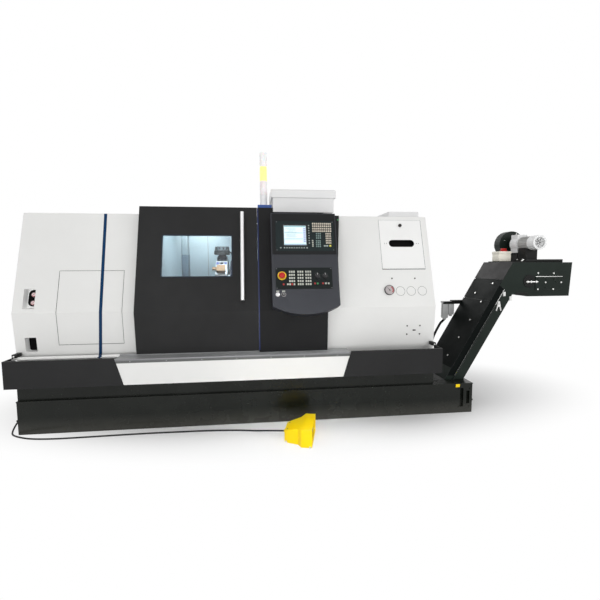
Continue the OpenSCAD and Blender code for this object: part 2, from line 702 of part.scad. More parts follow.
// Closed box that steps down behind the front covers, under its overhanging lid
module roof_box() color("#e6e6e4") {
    along_x(roof_box_x[0], roof_box_x[1]) polygon([
        [roof_box_y[0], notch_z], [roof_box_y[0], roof_box_z1], [roof_box_y[1], roof_box_z1],
        [roof_box_y[1], roof_z + sheet], [roof_step_y, roof_z + sheet], [roof_step_y, notch_z]]);
    along_x(roof_box_x[0] - lid_over, roof_box_x[1] + lid_over) polygon([
        [roof_box_y[0] - 14, roof_box_z1], [roof_box_y[0] - 14, roof_box_z1 + roof_lid_h - 20],
        [roof_box_y[0] + 26, roof_box_z1 + roof_lid_h], [roof_box_y[1] + lid_over, roof_box_z1 + roof_lid_h],
        [roof_box_y[1] + lid_over, roof_box_z1]]);
}
tower_x = 265;
tower_y = 500;
tower_r = 35;
tower_z0 = door_top_z + 35;
tower_plate = [136, 110];
tower_socket = 101;
lens_h = 134;
lens_n = 3;
module tower_base() color("#2b55a8") {
    box([tower_x - tower_plate[0] / 2 + 8, tower_y - tower_plate[1] / 2, door_top_z],
        [tower_x + tower_plate[0] / 2 + 8, tower_y + tower_plate[1] / 2, tower_z0]);
    translate([tower_x, tower_y, tower_z0]) cylinder(r = tower_r, h = tower_socket);
}
module tower_lenses() color("#f2f0e6") for (i = [0 : lens_n - 1])
    translate([tower_x, tower_y, tower_z0 + tower_socket + i * lens_h]) {
        cylinder(r = tower_r, h = lens_h - 6);
        translate([0, 0, lens_h - 6]) cylinder(r = tower_r - 3, h = 6);
    }

// Headstock, spindle and drive

head_x1 = -745;
spindle_r = 100;
nose_r = 150;
pulley_x = [-cover_x + 275, -cover_x + 355];
head_x0 = pulley_x[1] + 60;
pulley_r = 140;
motor_y = 420;
motor_z = 620;
motor_pulley_r = 90;
motor_r = 145;
motor_x = [head_x0, head_x1 - 315];
motor_box = [100, 120, 70];
belt_t = 8;
head_back = spindle_y + 620;
head_up = 210;
head_low = 200;
head_shelf = 230;
head_tail = 20;
cylinder_x = [-cover_x + 85, -cover_x + 125];
cylinder_r = 120;
module headstock_casting() color("#5b6063") difference() {
    along_x(head_x0, head_x1) polygon([
        [bed_y, slope_z(bed_y) + gap], [spindle_y - head_up, spindle_z - head_low],
        [spindle_y - head_up, spindle_z + head_up], [spindle_y + head_shelf, spindle_z + head_up],
        [head_back, spindle_z - head_tail], [head_back, slope_z(head_back) + gap]]);
    rod_x(head_x0 - 1, head_x1 + 1, spindle_y, spindle_z, spindle_r + gap);
}
module spindle() color("#b4b7b9") difference() {
    union() {
        rod_x(pulley_x[0] - 20, head_x1 + gap + 5, spindle_y, spindle_z, spindle_r);
        rod_x(head_x1 + gap + 5, chuck_x0, spindle_y, spindle_z, nose_r);
        rod_x(pulley_x[0], pulley_x[1], spindle_y, spindle_z, pulley_r);
        // Flanges of the pulley and the clamping cylinder behind it
        for (x = [pulley_x[0] - 6, pulley_x[1]]) rod_x(x, x + 6, spindle_y, spindle_z, pulley_r + 12);
        rod_x(cylinder_x[1], pulley_x[0] - 20, spindle_y, spindle_z, cylinder_r);
        rod_x(cylinder_x[0], cylinder_x[1], spindle_y, spindle_z, cylinder_r - 50);
    }
    rod_x(cylinder_x[0] - 10, chuck_x0 + 1, spindle_y, spindle_z, bar_d / 2);
}
chuck_x0 = -700;
chuck_l = 130;
chuck_x1 = chuck_x0 + chuck_l;
jaw_w = 56;
jaw_in = 92;
jaw_l = 92;
jaw_h = 70;
jaw_step = 32;
jaw_tongue = 24;
// Turns a piece about the spindle to the place of jaw n
module at_jaw(n) { translate([0, spindle_y, spindle_z]) rotate([120 * (n - 1), 0, 0]) children(); }
module chuck_body() color("#9b9ea1") difference() {
    union() {
        rod_x(chuck_x0, chuck_x1 - 12, spindle_y, spindle_z, chuck_d / 2);
        translate([chuck_x1 - 12, spindle_y, spindle_z]) rotate([0, 90, 0])
            cylinder(d1 = chuck_d, d2 = chuck_d - 24, h = 12);
    }
    rod_x(chuck_x0 - 1, chuck_x1 + 1, spindle_y, spindle_z, bar_d / 2);
    for (n = [1 : 3]) at_jaw(n)
        translate([chuck_x1 - jaw_tongue - gap, -jaw_w / 2 - gap, 70]) cube([60, jaw_w + 2 * gap, chuck_d]);
}
// Stepped jaw on its tongue, with room in the slot for its stroke
module jaw(n) color("#85898c") at_jaw(n) {
    translate([chuck_x1 - jaw_tongue, -jaw_w / 2, jaw_in]) {
        cube([jaw_tongue + jaw_h, jaw_w, jaw_l - jaw_step]);
        translate([0, 0, jaw_l - jaw_step]) cube([jaw_tongue + jaw_h - 26, jaw_w, jaw_step]);
    }
}
module main_motor() color("#3c4a55") {
    rod_x(motor_x[0], motor_x[1], motor_y, motor_z, motor_r);
    rod_x(motor_x[1], motor_x[1] + 60, motor_y, motor_z, motor_r - 20);
    box([motor_x[0] + 40, motor_y - 110, tank_h], [motor_x[1] - 40, motor_y + 110, motor_z - motor_r + 40]);
    translate([(motor_x[0] + motor_x[1] - motor_box[0]) / 2, motor_y - motor_box[1] / 2,
        motor_z + motor_r - 20]) cube(motor_box);
}
module motor_pulley() color("#b4b7b9") {
    rod_x(pulley_x[0], pulley_x[1], motor_y, motor_z, motor_pulley_r);
    rod_x(pulley_x[1], motor_x[0] - gap, motor_y, motor_z, 30);
}
module drive_belt() color("#1c1c1c") {
    along_x(pulley_x[0] + 6, pulley_x[1] - 6) difference() {
        belt_loop(belt_t);
        belt_loop(gap);
    }
}
module belt_loop(grow) hull() {
    translate([spindle_y, spindle_z]) circle(pulley_r + grow, $fn = 64);
    translate([motor_y, motor_z]) circle(motor_pulley_r + grow, $fn = 64);
}

// Saddle, turret and tailstock, in the bed's frame

saddle_x = [-108, 370];
saddle_s = [60, 180, 840, 860];
saddle_edges = [90, 110];
slide_h = 230;
slide_x = [-110, 280];
disc_w = 130;
hub_l = 30;
hub_seat = 45;
disc_x = [slide_x[0] - hub_l - disc_w, slide_x[0] - hub_l];
nut_x = [-10, 110];
module saddle() color("#6d7275") {
    bed_prism(saddle_x[0], saddle_x[1]) polygon([
        [saddle_s[0], rail[1] + gap], [saddle_s[0], saddle_edges[0]], [saddle_s[1], saddle_h],
        [saddle_s[2], saddle_h], [saddle_s[3], saddle_edges[1]], [saddle_s[3], rail[1] + gap]]);
    // Nut on the screw
    on_bed() difference() {
        translate([nut_x[0], screw_s - 44, screw_h - 40])
            cube([nut_x[1] - nut_x[0], 88, rail[1] + gap + 40 - screw_h]);
        rod_x(nut_x[0] - 1, nut_x[1] + 1, screw_s, screw_h, screw_r + gap);
    }
}
hub_r = 70;
slide_down = 290;
module turret_slide() color("#787d80") {
    bed_prism(slide_x[0], slide_x[1]) translate([turret_s - slide_down, saddle_h + gap])
        square([slide_down + slide_up, slide_h - saddle_h - gap]);
    difference() {
        bed_prism(slide_x[0], slide_x[1] - 30) polygon([
            [turret_s - 170, slide_h], [turret_s - 170, axis_h + 120], [turret_s - 120, axis_h + 170],
            [turret_s + 120, axis_h + 170], [turret_s + 170, axis_h + 120], [turret_s + 170, slide_h]]);
        on_bed() rod_x(slide_x[0] - 1, slide_x[0] + hub_seat + 5, turret_s, axis_h, hub_r + gap);
    }
}
stations = 12;
station_in = turret_d / 2 * cos(180 / stations);
// Turns a piece to station n, with Z out along the station's axis
module at_station(n) {
    on_bed() translate([(disc_x[0] + disc_x[1]) / 2, turret_s, axis_h])
        rotate([-360 / stations * n, 0, 0]) children();
}
live_station = 1;
turning_stations = [3, 6, 11];
module turret_disc() color("#8d9194") {
    difference() {
        union() {
            on_bed() translate([disc_x[0], turret_s, axis_h]) rotate([0, 90, 0]) rotate([0, 0, 15])
                cylinder(d = turret_d, h = disc_x[1] - disc_x[0], $fn = stations);
            on_bed() rod_x(disc_x[1], slide_x[0] + hub_seat, turret_s, axis_h, hub_r);
            on_bed() rod_x(disc_x[0] - 14, disc_x[0], turret_s, axis_h, 60);
        }
        for (n = [0 : stations - 1]) at_station(n)
            translate([0, 0, station_in - station_depth]) cylinder(d = station_d, h = station_depth + 10);
    }
    // Shanks and blocks of the tool holders
    for (n = turning_stations) at_station(n) {
        translate([0, 0, station_in - station_depth + 8]) cylinder(d = station_d, h = station_depth - 7);
        translate([-45, -36, station_in]) cube([90, 72, 52]);
        translate([-95, -13, station_in + 16]) cube([70, 26, 26]);
    }
    at_station(live_station) {
        translate([0, 0, station_in - station_depth + 8]) difference() {
            cylinder(d = station_d, h = station_depth - 7);
            translate([0, 0, station_depth - 30]) cylinder(r = tool_r + gap, h = 60);
        }
        difference() {
            translate([-tool_block[0] / 2, -tool_block[1] / 2, station_in]) cube(tool_block);
            translate([0, 0, station_in - 40]) cylinder(r = tool_r + gap, h = 120);
        }
    }
}
tool_r = 14;
tool_block = [110, 96, 44];
// Collar, neck and the two tiers of the cutter: diameter and height
tool_tiers = [[104, 16], [80, 12], [176, 48], [156, 44]];
function tier_z(i) = i == 0 ? tool_block[2] + gap : tier_z(i - 1) + tool_tiers[i - 1][1];
module live_tool() color("#70767c") at_station(live_station) translate([0, 0, station_in]) {
    translate([0, 0, -16]) cylinder(r = tool_r, h = 16 + tier_z(1));
    for (i = [0 : len(tool_tiers) - 1])
        translate([0, 0, tier_z(i)]) cylinder(d = tool_tiers[i][0], h = tool_tiers[i][1]);
}
tail_l = 480;
tail_room = 220;
tail_x = [rail_x1 - tail_room - tail_l, rail_x1 - tail_room];
tail_r = 120;
tail_s = [60, 470, 520];
tail_foot_h = 120;
tail_waist_h = 150;
tip_x = tail_x[0] - 170;
module tailstock_body() color("#7a8083") difference() {
    union() {
        bed_prism(tail_x[0], tail_x[1]) polygon([
            [tail_s[0], rail[1] + gap], [tail_s[0], tail_foot_h], [axis_s - tail_r, axis_h],
            [axis_s + tail_r, axis_h], [tail_s[1], tail_waist_h], [tail_s[2], tail_foot_h],
            [tail_s[2], rail[1] + gap]]);
        on_bed() rod_x(tail_x[0], tail_x[1], axis_s, axis_h, tail_r);
    }
    on_bed() rod_x(tail_x[0] - 1, tail_x[1] - 30, axis_s, axis_h, quill_d / 2 + gap);
}
module quill() color("#b9bcbe") on_bed() {
    rod_x(tail_x[0] - 40, tail_x[1] - 60, axis_s, axis_h, quill_d / 2);
    rod_x(tail_x[0] - 90, tail_x[0] - 40, axis_s, axis_h, 45);
    translate([tip_x, axis_s, axis_h]) rotate([0, 90, 0])
        cylinder(r1 = 1, r2 = 40, h = tail_x[0] - 90 - tip_x);
}

// Swarf conveyor

incline_foot = tray_half + 173;
incline_t = 177;
rise_tan = tan(rise);
wall = 4;
head_x = tray_half + head_reach;
head_bottom = head_z - 348;
conveyor_y1 = conveyor_y + conveyor_w;
// X of a line parallel to the incline at height z, off from its top face
function incline_x(off, z) = incline_foot + off / sin(rise) + (z - tank_h) / rise_tan;
under_z = head_z - 322;
discharge_x = head_x - 488;
side_outline = [
    [trough_x0 + 20, trough_floor], [incline_x(incline_t, trough_floor), trough_floor],
    [incline_x(incline_t, under_z), under_z], [discharge_x, head_bottom], [head_x - 20, head_bottom],
    [head_x, head_z], [incline_x(0, head_z), head_z], [incline_x(0, tank_h), tank_h],
    [trough_x0 + 20, tank_h]];
shaft_x = head_x - 165;
shaft_z = head_z - 178;
shaft_r = 25;

// Strip along the incline between two depths and two heights
module incline_strip(d0, d1, z0, z1) {
    polygon([[incline_x(d0, z0), z0], [incline_x(d1, z0), z0],
        [incline_x(d1, z1), z1], [incline_x(d0, z1), z1]]);
}
flange_d = 74;
module conveyor_casing() color("#20252a") {
    for (y = [conveyor_y, conveyor_y1 - wall]) difference() {
        along_y(y, y + wall) polygon(side_outline);
        rod_y(y - 1, y + wall + 1, shaft_x, shaft_z, shaft_r + gap);
    }
    inner = [conveyor_y + wall, conveyor_y1 - wall];
    // Pan of the lower run
    pan_x1 = incline_x(incline_t, trough_floor) - wall;
    box([trough_x0 + 20, inner[0], trough_floor], [pan_x1, inner[1], trough_floor + wall]);
    // Skins over and under the incline
    along_y(inner[0], inner[1]) {
        incline_strip(0, wall, tank_h, head_z - wall);
        incline_strip(incline_t - wall, incline_t, trough_floor + wall, under_z);
    }
    // Top and end of the head; its underside is open for the swarf to drop
    box([incline_x(0, head_z), inner[0], head_z - wall], [head_x - wall / 2, inner[1], head_z]);
    along_y(inner[0], inner[1]) polygon([
        [head_x - 20 - wall, head_bottom], [head_x - 20, head_bottom],
        [head_x, head_z], [head_x - wall, head_z]]);
    along_y(inner[0], inner[1]) polygon([
        [incline_x(incline_t - wall, under_z), under_z], [incline_x(incline_t, under_z), under_z],
        [discharge_x, head_bottom], [discharge_x, head_bottom + wall],
        [incline_x(incline_t - wall, under_z), under_z + wall]]);
    // Flange along the incline and the bearing plate of the head
    along_y(conveyor_y - 16, conveyor_y) incline_strip(flange_d, flange_d + 5, tank_h, under_z - 108);
    for (y = [conveyor_y - 8, conveyor_y1]) difference() {
        box([shaft_x - 240, y, shaft_z - 105], [shaft_x + 55, y + 8, shaft_z + 30]);
        rod_y(y - 1, y + 9, shaft_x, shaft_z, shaft_r + gap);
    }
    for (dx = [-210, -120, -35], dz = [-85, 5])
        rod_y(conveyor_y - 14, conveyor_y - 8, shaft_x + dx, shaft_z + dz, 9);
}
// Bolted plates over the incline: from and to heights; they pass the casing by cover_lip
cover_plates = [[tank_h + 120, head_z - 392], [head_z - 384, head_z - 180], [head_z - 174, head_z + 6]];
// Bolt heads on the plates: Y and height
cover_bolts = [
    [conveyor_y + 130, head_z - 602], [conveyor_y + 148, head_z - 790], [conveyor_y + 162, head_z - 981],
    [conveyor_y + 120, head_z - 412], [conveyor_y + 307, head_z - 333], [conveyor_y + 102, head_z - 220]];
cover_lip = 12;
plate_lift = 5;
module conveyor_covers() color("#26292c") {
    for (p = cover_plates) along_y(conveyor_y - cover_lip, conveyor_y1 + cover_lip)
        incline_strip(-plate_lift, -seat, p[0], p[1]);
    for (b = cover_bolts) cover_bolt(b[0], b[1]);
}
module cover_bolt(y, z) {
    translate([incline_x(-plate_lift, z), y, z]) rotate([0, -rise, 0]) cylinder(r = 11, h = 6, $fn = 6);
}
belt_out = 60;
belt_in = 40;
belt_mid = incline_t / 2;
run_z = 150;
belt_tail = trough_x0 + 60;
// Loop of the slat belt at a distance out from its middle line
function belt_loop_outline(d, r) = concat(
    [[belt_tail + 60 - d, run_z - d], [incline_x(belt_mid + d, run_z - d), run_z - d],
     [incline_x(belt_mid + d, shaft_z - r), shaft_z - r]],
    [for (a = [-90 : 10 : 90]) [shaft_x + r * cos(a), shaft_z + r * sin(a)]],
    [[incline_x(belt_mid - d, shaft_z + r), shaft_z + r],
     [incline_x(belt_mid - d, run_z + d), run_z + d], [belt_tail + 60 - d, run_z + d]]);
module slat_belt() color("#55595c") along_y(conveyor_y + 25, conveyor_y1 - 25) difference() {
    polygon(belt_loop_outline(belt_out, sprocket_d / 2 + 18));
    polygon(belt_loop_outline(belt_in, sprocket_d / 2 + 1));
}
shaft_out = 90;
module head_shaft() color("#9a9da0") {
    rod_y(conveyor_y - 14, conveyor_y1 + shaft_out, shaft_x, shaft_z, shaft_r);
    for (y = [conveyor_y + 60, conveyor_y1 - 100]) rod_y(y, y + 40, shaft_x, shaft_z, sprocket_d / 2);
    // Chain wheel on the drive side
    rod_y(chain_y[0], chain_y[1], shaft_x, shaft_z, head_wheel_r);
}
gear_x = round(incline_x(0, head_z)) + 325;
gear_z = head_z + 206;
gear_r = 62;
motor_plate = 14;
motor_plate_x = [300, 285];
stand_w = 130;
stand_foot = 200;
stand_y = [conveyor_y + 150, conveyor_y + 275];
motor_y0 = conveyor_y + 38;
cowl_l = 100;
cowl_r = 75;
gear_y = [conveyor_y1 - 172, conveyor_y1 - 70];
gearbox_r = 80;
gearbox = [124, 196];
gear_foot_w = 100;
neck_r = 45;
neck_y1 = conveyor_y1 - 2;
module gearmotor() color("#b9bbbb") {
    // Base plate, stand of the motor and foot of the gearbox
    box([gear_x - motor_plate_x[0], conveyor_y + 60, head_z],
        [gear_x + motor_plate_x[1], conveyor_y1 - 30, head_z + motor_plate]);
    box([gear_x - stand_w / 2, stand_y[0], head_z + motor_plate],
        [gear_x + stand_w / 2, stand_y[1], gear_z - 50]);
    box([gear_x - stand_foot / 2, stand_y[0], head_z + motor_plate],
        [gear_x + stand_foot / 2, stand_y[1], head_z + 2 * motor_plate]);
    box([gear_x - gear_foot_w / 2, gear_y[0] + 10, head_z + motor_plate],
        [gear_x + gear_foot_w / 2, gear_y[1] - 10, gear_z - 60]);
    // Gearbox with the neck round its shaft
    difference() {
        union() {
            rod_y(gear_y[0], gear_y[1], gear_x, gear_z, gearbox_r);
            box([gear_x - gearbox[0] / 2, gear_y[0], gear_z - gearbox[1] / 2],
                [gear_x + gearbox[0] / 2, gear_y[1], gear_z + gearbox[1] / 2]);
            rod_y(gear_y[1], neck_y1, gear_x, gear_z, neck_r);
        }
        rod_y(gear_y[1] - gear_seat, neck_y1 + 1, gear_x, gear_z, gear_shaft_r + gap);
    }
    rod_y(motor_y0 + cowl_l, gear_y[0], gear_x, gear_z, gear_r);
    // Cooling fins
    for (a = [0 : 15 : 345]) translate([gear_x, 0, gear_z]) rotate([0, a, 0])
        box([-1.5, motor_y0 + cowl_l + 10, gear_r - 3], [1.5, gear_y[0] - 10, gear_r + 9]);
    // Fan cowl with its open grille
    difference() {
        rod_y(motor_y0, motor_y0 + cowl_l, gear_x, gear_z, cowl_r);
        rod_y(motor_y0 - 1, motor_y0 + 20, gear_x, gear_z, cowl_r - 18);
    }
}
gear_shaft_r = 22;
gear_seat = 60;
// Output shaft of the gearbox, with the small chain wheel
module gear_shaft() color("#9a9da0") {
    rod_y(gear_y[1] - gear_seat + gap, conveyor_y1 + 62, gear_x, gear_z, gear_shaft_r);
    rod_y(chain_y[0], chain_y[1], gear_x, gear_z, gear_wheel_r);
}
chain_y = [conveyor_y1 + 30, conveyor_y1 + 50];
gear_wheel_r = 63;
head_wheel_r = 95;
guard_y = [conveyor_y1 + 8, conveyor_y1 + 104];
guard_r = 150;
module guard_outline(r) {
    polygon(concat(
        [for (a = [192 : -12 : 24]) [gear_x + (guard_r + r) * cos(a), gear_z + (guard_r + r) * sin(a)]],
        [for (a = [24 : -12 : -168]) [shaft_x + (guard_r + r) * cos(a), shaft_z + (guard_r + r) * sin(a)]]));
}
module chain_guard() color("#1d2022") difference() {
    along_y(guard_y[0], guard_y[1]) guard_outline(0);
    along_y(guard_y[0] + wall, guard_y[1] - wall) guard_outline(-wall);
    rod_y(guard_y[0] - 1, guard_y[0] + wall + 1, shaft_x, shaft_z, shaft_r + gap);
    rod_y(guard_y[0] - 1, guard_y[0] + wall + 1, gear_x, gear_z, gear_shaft_r + gap);
}
jbox = [gear_x - 280, conveyor_y + 280, head_z + motor_plate];
jbox_size = [140, 125, 108];
socket_x = incline_foot + 254;
socket_z = under_z - 238;
conduit_r = 9;
plug_l = [190, 150];
socket_top = socket_z + 110;
// The plugs hang beside the lips of the cover plates
plug_y = conveyor_y1 + cover_lip + gap;
socket_y = plug_y + 28;
tank_rim_y = (trough_y1 + tank_back) / 2;
// Route of the conduit from a plug down to the tank
conduit_route = [[socket_x - 8, socket_y, socket_top - plug_l[0]], [socket_x - 62, socket_y, socket_z - 130],
    [socket_x - 142, socket_y - 6, socket_z - 280], [socket_x - 182, socket_y - 14, socket_z - 410],
    [socket_x - 192, tank_rim_y, tank_h + 100], [socket_x - 192, tank_rim_y, tank_h]];
module conveyor_wiring() color("#8f9396") {
    translate(jbox) cube(jbox_size);
    translate(jbox + [90, 60, jbox_size[2]]) cylinder(r = 38, h = 12);
    translate(jbox + [60, 50, jbox_size[2] + 12]) cube([60, 20, 22]);
    // Bracket on the side of the incline, and two hooded plugs
    strap_x1 = incline_x(60, socket_top);
    box([socket_x - 60, plug_y, socket_top], [strap_x1, plug_y + 6, socket_top + 22]);
    box([strap_x1 - 40, conveyor_y1, socket_top], [strap_x1, plug_y + 6, socket_top + 22]);
    for (i = [0, 1]) translate([socket_x - 40 + i * 70, plug_y, socket_top]) {
        box([0, 4, -plug_l[i]], [64, 52, 0]);
        box([-6, 0, -2], [70, 56, 12]);
    }
    for (i = [0 : len(conduit_route) - 2]) conduit(conduit_route[i], conduit_route[i + 1]);
}
// Straight length of conduit with a round end
module conduit(p, q) {
    d = q - p;
    translate(p) rotate([0, acos(d[2] / norm(d)), atan2(d[1], d[0])])
        cylinder(r = conduit_r, h = norm(d), $fn = 16);
    translate(q) if (q[2] > tank_h) sphere(r = conduit_r + 1.5, $fn = 16);
}

// Foot switch and its cable

pedal_x = 415;
pedal_y = -180;
pedal_turn = -13.5;
pedal_wall = 5;
pedal_mid = 118;
pedal_neck = 105;
module in_pedal() { translate([pedal_x, pedal_y, 0]) rotate([0, 0, pedal_turn]) children(); }
// Half plan of the housing: narrow at the cable, flared at the mouth
function pedal_half(inset) = [
    [inset, pedal_neck - 22], [pedal_mid * 0.3, pedal_neck - inset], [pedal_mid, pedal_neck + 22 - inset],
    [pedal_mid + 34, pedal_w / 2 - inset], [pedal_l, pedal_w / 2 - inset]];
module pedal_plan(inset) {
    half = pedal_half(inset);
    polygon(concat(half, [for (i = [len(half) - 1 : -1 : 0]) [half[i][0], -half[i][1]]]));
}
// Side profile: low at the cable, high at the mouth
module pedal_side(inset) {
    polygon([[inset - 1, -1], [inset - 1, 96 - inset], [pedal_mid, pedal_h - 14 - inset],
        [pedal_mid + 40, pedal_h - inset], [pedal_l + 1, pedal_h - inset], [pedal_l + 1, -1]]);
}
pedal_floor = 10;
hinge_x = 70;
hinge_z = 44;
module pedal_housing() color("#f2cf1c") in_pedal() {
    difference() {
        intersection() {
            linear_extrude(pedal_h) pedal_plan(0);
            along_y(-pedal_w, pedal_w) pedal_side(0);
        }
        intersection() {
            translate([0, 0, pedal_floor]) linear_extrude(pedal_h) pedal_plan(pedal_wall);
            along_y(-pedal_w, pedal_w) pedal_side(pedal_wall);
        }
        // Mouth
        box([pedal_l - 12, -pedal_w / 2 + pedal_wall, pedal_floor],
            [pedal_l + 1, pedal_w / 2 - pedal_wall, pedal_h - pedal_wall]);
    }
    // Boss that grips the cable
    rod_x(-entry_l, 2, 0, cable_entry_z, cable_d / 2 + 6);
    // Middle wall and the pivot pin of the treadles
    box([pedal_wall, -3, pedal_floor], [pedal_l - 24, 3, 90]);
    rod_y(-pedal_neck + 8, pedal_neck - 8, hinge_x, hinge_z, 5);
    for (y = [-pedal_neck + 2, pedal_neck - 16])
        box([hinge_x - 10, y, pedal_floor], [hinge_x + 10, y + 14, hinge_z + 10]);
}
module treadle(side) color("#3b3d40") in_pedal() {
    y0 = side < 0 ? -pedal_neck + 18 : 5;
    w = pedal_neck - 23;
    difference() {
        translate([hinge_x - 9, y0, hinge_z - 9]) cube([18, w, 18]);
        rod_y(y0 - 1, y0 + w + 1, hinge_x, hinge_z, 5 + gap);
    }
    translate([hinge_x + 8, y0, hinge_z - 3]) rotate([0, -4, 0]) cube([148, w, 10]);
}
module treadle_left() treadle(1);
module treadle_right() treadle(-1);

cable_entry_z = 56;
entry_l = 16;
gland_y = 330;
gland_z = 92;
gland_l = 34;
module cable_gland() color("#1a1a1a") {
    difference() {
        union() {
            translate([-tray_half, gland_y, gland_z]) rotate([0, -90, 0]) cylinder(r = 15, h = 12, $fn = 6);
            translate([-tray_half - 12, gland_y, gland_z]) rotate([0, -90, 0])
                cylinder(r1 = 12, r2 = cable_d / 2 + 1.5, h = gland_l - 12);
        }
        rod_x(-tray_half - gland_l - 1, -tray_half + 1, gland_y, gland_z, cable_d / 2 + 0.2);
    }
}
cable_lie = cable_d / 2;
// Route of the cable, from the gland along the floor to the foot switch
cable_route = [
    [-1905, 330, 92], [-1940, 330, 92], [-1972, 318, 80], [-1990, 288, 58], [-1992, 246, 32],
    [-1982, 202, 14], [-1960, 160, cable_lie], [-1920, 122, cable_lie], [-1855, 84, cable_lie],
    [-1764, 48, cable_lie], [-1650, 27, cable_lie], [-1500, 18, cable_lie], [-1306, 20, cable_lie],
    [-1046, 26, cable_lie], [-779, 30, cable_lie], [-505, 26, cable_lie], [-227, 17, cable_lie],
    [0, -6, cable_lie], [158, -38, 9], [220, -70, 20], [276, -113, 36], [326, -149, 49],
    [369, -169, cable_entry_z - 1], [401.4, -176.7, cable_entry_z]];
module pedal_cable() color("#141414") sweep(cable_route, cable_d / 2, 8);

// Catmull-Rom point between b and c at t
function curve(a, b, c, d, t) = 0.5 * ((2 * b) + (c - a) * t + (2 * a - 5 * b + 4 * c - d) * t * t
    + (3 * b - a - 3 * c + d) * t * t * t);
function unit(v) = v / norm(v);
sweep_step = 36;
function sweep_points(p) = let (n = len(p)) concat([for (i = [0 : n - 2])
    let (a = p[max(i - 1, 0)], b = p[i], c = p[i + 1], d = p[min(i + 2, n - 1)],
        k = max(1, round(norm(c - b) / sweep_step)))
    each [for (j = [0 : k - 1]) curve(a, b, c, d, j / k)]], [p[n - 1]]);
// Round tube of the given radius along a route
module sweep(route, r, sides) {
    pts = sweep_points(route);
    n = len(pts);
    rings = [for (i = [0 : n - 1])
        let (t = unit(pts[min(i + 1, n - 1)] - pts[max(i - 1, 0)]),
            side = unit(cross(t, abs(t[2]) > 0.9 ? [0, 1, 0] : [0, 0, 1])), up = cross(side, t))
        for (k = [0 : sides - 1]) pts[i] + r * (cos(360 * k / sides) * side + sin(360 * k / sides) * up)];
    polyhedron(rings, concat(
        [[for (k = [0 : sides - 1]) k]],
        [for (i = [0 : n - 2], k = [0 : sides - 1]) let (a = i * sides + k, b = i * sides + (k + 1) % sides)
            [a, a + sides, b + sides, b]],
        [[for (k = [sides - 1 : -1 : 0]) (n - 1) * sides + k]]));
}

in_frame() base_tank();
in_frame() bed_casting();
in_frame() tray_ends();
in_frame() tray_centre();
in_frame() door_rail();
in_frame() headstock_cover();
in_frame() headstock_panel();
in_frame() tailstock_cover();
in_frame() column_panel();
in_frame() roof_panel();
in_frame() outer_covers();
in_frame() chamber_liner();
in_frame() electrical_cabinet();
in_frame() pressure_gauges();
in_frame() control_housing();
in_frame() operator_panel();
in_frame() screen();
in_frame() machine_panel();
in_frame() panel_keys();
in_frame() roof_box();
in_frame() tower_base();
in_frame() tower_lenses();
in_frame() headstock_casting();
in_frame() main_motor();
in_frame() drive_belt();
in_frame() conveyor_casing();
in_frame() conveyor_covers();
in_frame() slat_belt();
in_frame() gearmotor();
in_frame() chain_guard();
in_frame() conveyor_wiring();
in_frame() gear_shaft();
in_frame() pedal_housing();
in_frame() pedal_cable();
in_frame() cable_gland();
in_frame() door_panel();
in_frame() door_window();
in_frame() door_handle();
in_frame() spindle();
in_frame() chuck_body();
in_frame() jaw(1);  // jaw_1
in_frame() jaw(2);  // jaw_2
in_frame() jaw(3);  // jaw_3
in_frame() motor_pulley();
in_frame() saddle();
in_frame() turret_slide();
in_frame() turret_disc();
in_frame() live_tool();
in_frame() z_screw();
in_frame() tailstock_body();
in_frame() quill();
in_frame() head_shaft();
in_frame() inspection_door();
in_frame() latch_knob();
in_frame() estop_button();
in_frame() feed_knob();
in_frame() spindle_knob();
in_frame() mode_switch();
in_frame() treadle_left();
in_frame() treadle_right();
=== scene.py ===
"""Looks of a slant-bed turning lathe with its swarf conveyor and foot switch."""
import json
from math import cos, hypot, pi, radians, sin, sqrt, tan

import bmesh
import bpy
from mathutils import Matrix, Vector

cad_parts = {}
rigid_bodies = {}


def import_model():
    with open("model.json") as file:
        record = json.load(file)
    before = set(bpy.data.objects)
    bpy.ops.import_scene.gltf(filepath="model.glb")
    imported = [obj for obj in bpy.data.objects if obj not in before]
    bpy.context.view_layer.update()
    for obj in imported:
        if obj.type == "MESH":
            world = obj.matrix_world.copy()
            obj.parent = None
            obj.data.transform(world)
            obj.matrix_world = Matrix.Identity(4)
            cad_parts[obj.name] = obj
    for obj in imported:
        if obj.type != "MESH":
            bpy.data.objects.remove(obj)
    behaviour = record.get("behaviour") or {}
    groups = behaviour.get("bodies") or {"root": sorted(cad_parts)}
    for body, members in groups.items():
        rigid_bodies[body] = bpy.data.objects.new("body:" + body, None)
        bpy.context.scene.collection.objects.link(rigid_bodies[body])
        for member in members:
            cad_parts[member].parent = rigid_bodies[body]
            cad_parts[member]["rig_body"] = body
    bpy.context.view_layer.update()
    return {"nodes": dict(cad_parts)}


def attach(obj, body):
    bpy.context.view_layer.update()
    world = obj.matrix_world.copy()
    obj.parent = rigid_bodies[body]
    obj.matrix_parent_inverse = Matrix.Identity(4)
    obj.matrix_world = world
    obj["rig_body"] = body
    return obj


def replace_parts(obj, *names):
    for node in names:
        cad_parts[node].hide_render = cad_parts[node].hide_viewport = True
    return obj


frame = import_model()
cad_nodes = frame["nodes"]
scene = bpy.context.scene

# Places. Sizes are millimetres, with Y measured from the front of the drip tray.

MM = 0.001
TRAY_FRONT = 975.0
LEAN = radians(17.5)
CREASE = 1067.0
LOW_SLOPE = 0.08
COVER, DOOR, PANEL = 188.0, 94.0, -26.0
WORKSHOP = Matrix.Scale(MM, 4) @ Matrix.Translation((0, -TRAY_FRONT, 0))
FORWARD, BACKWARD, UPWARD = (0, -1, 0), (0, 1, 0), (0, 0, 1)


def at(x, y, z):
    """A point of the workshop's millimetres, in metres of the frame."""
    return WORKSHOP @ Vector((x, y, z))


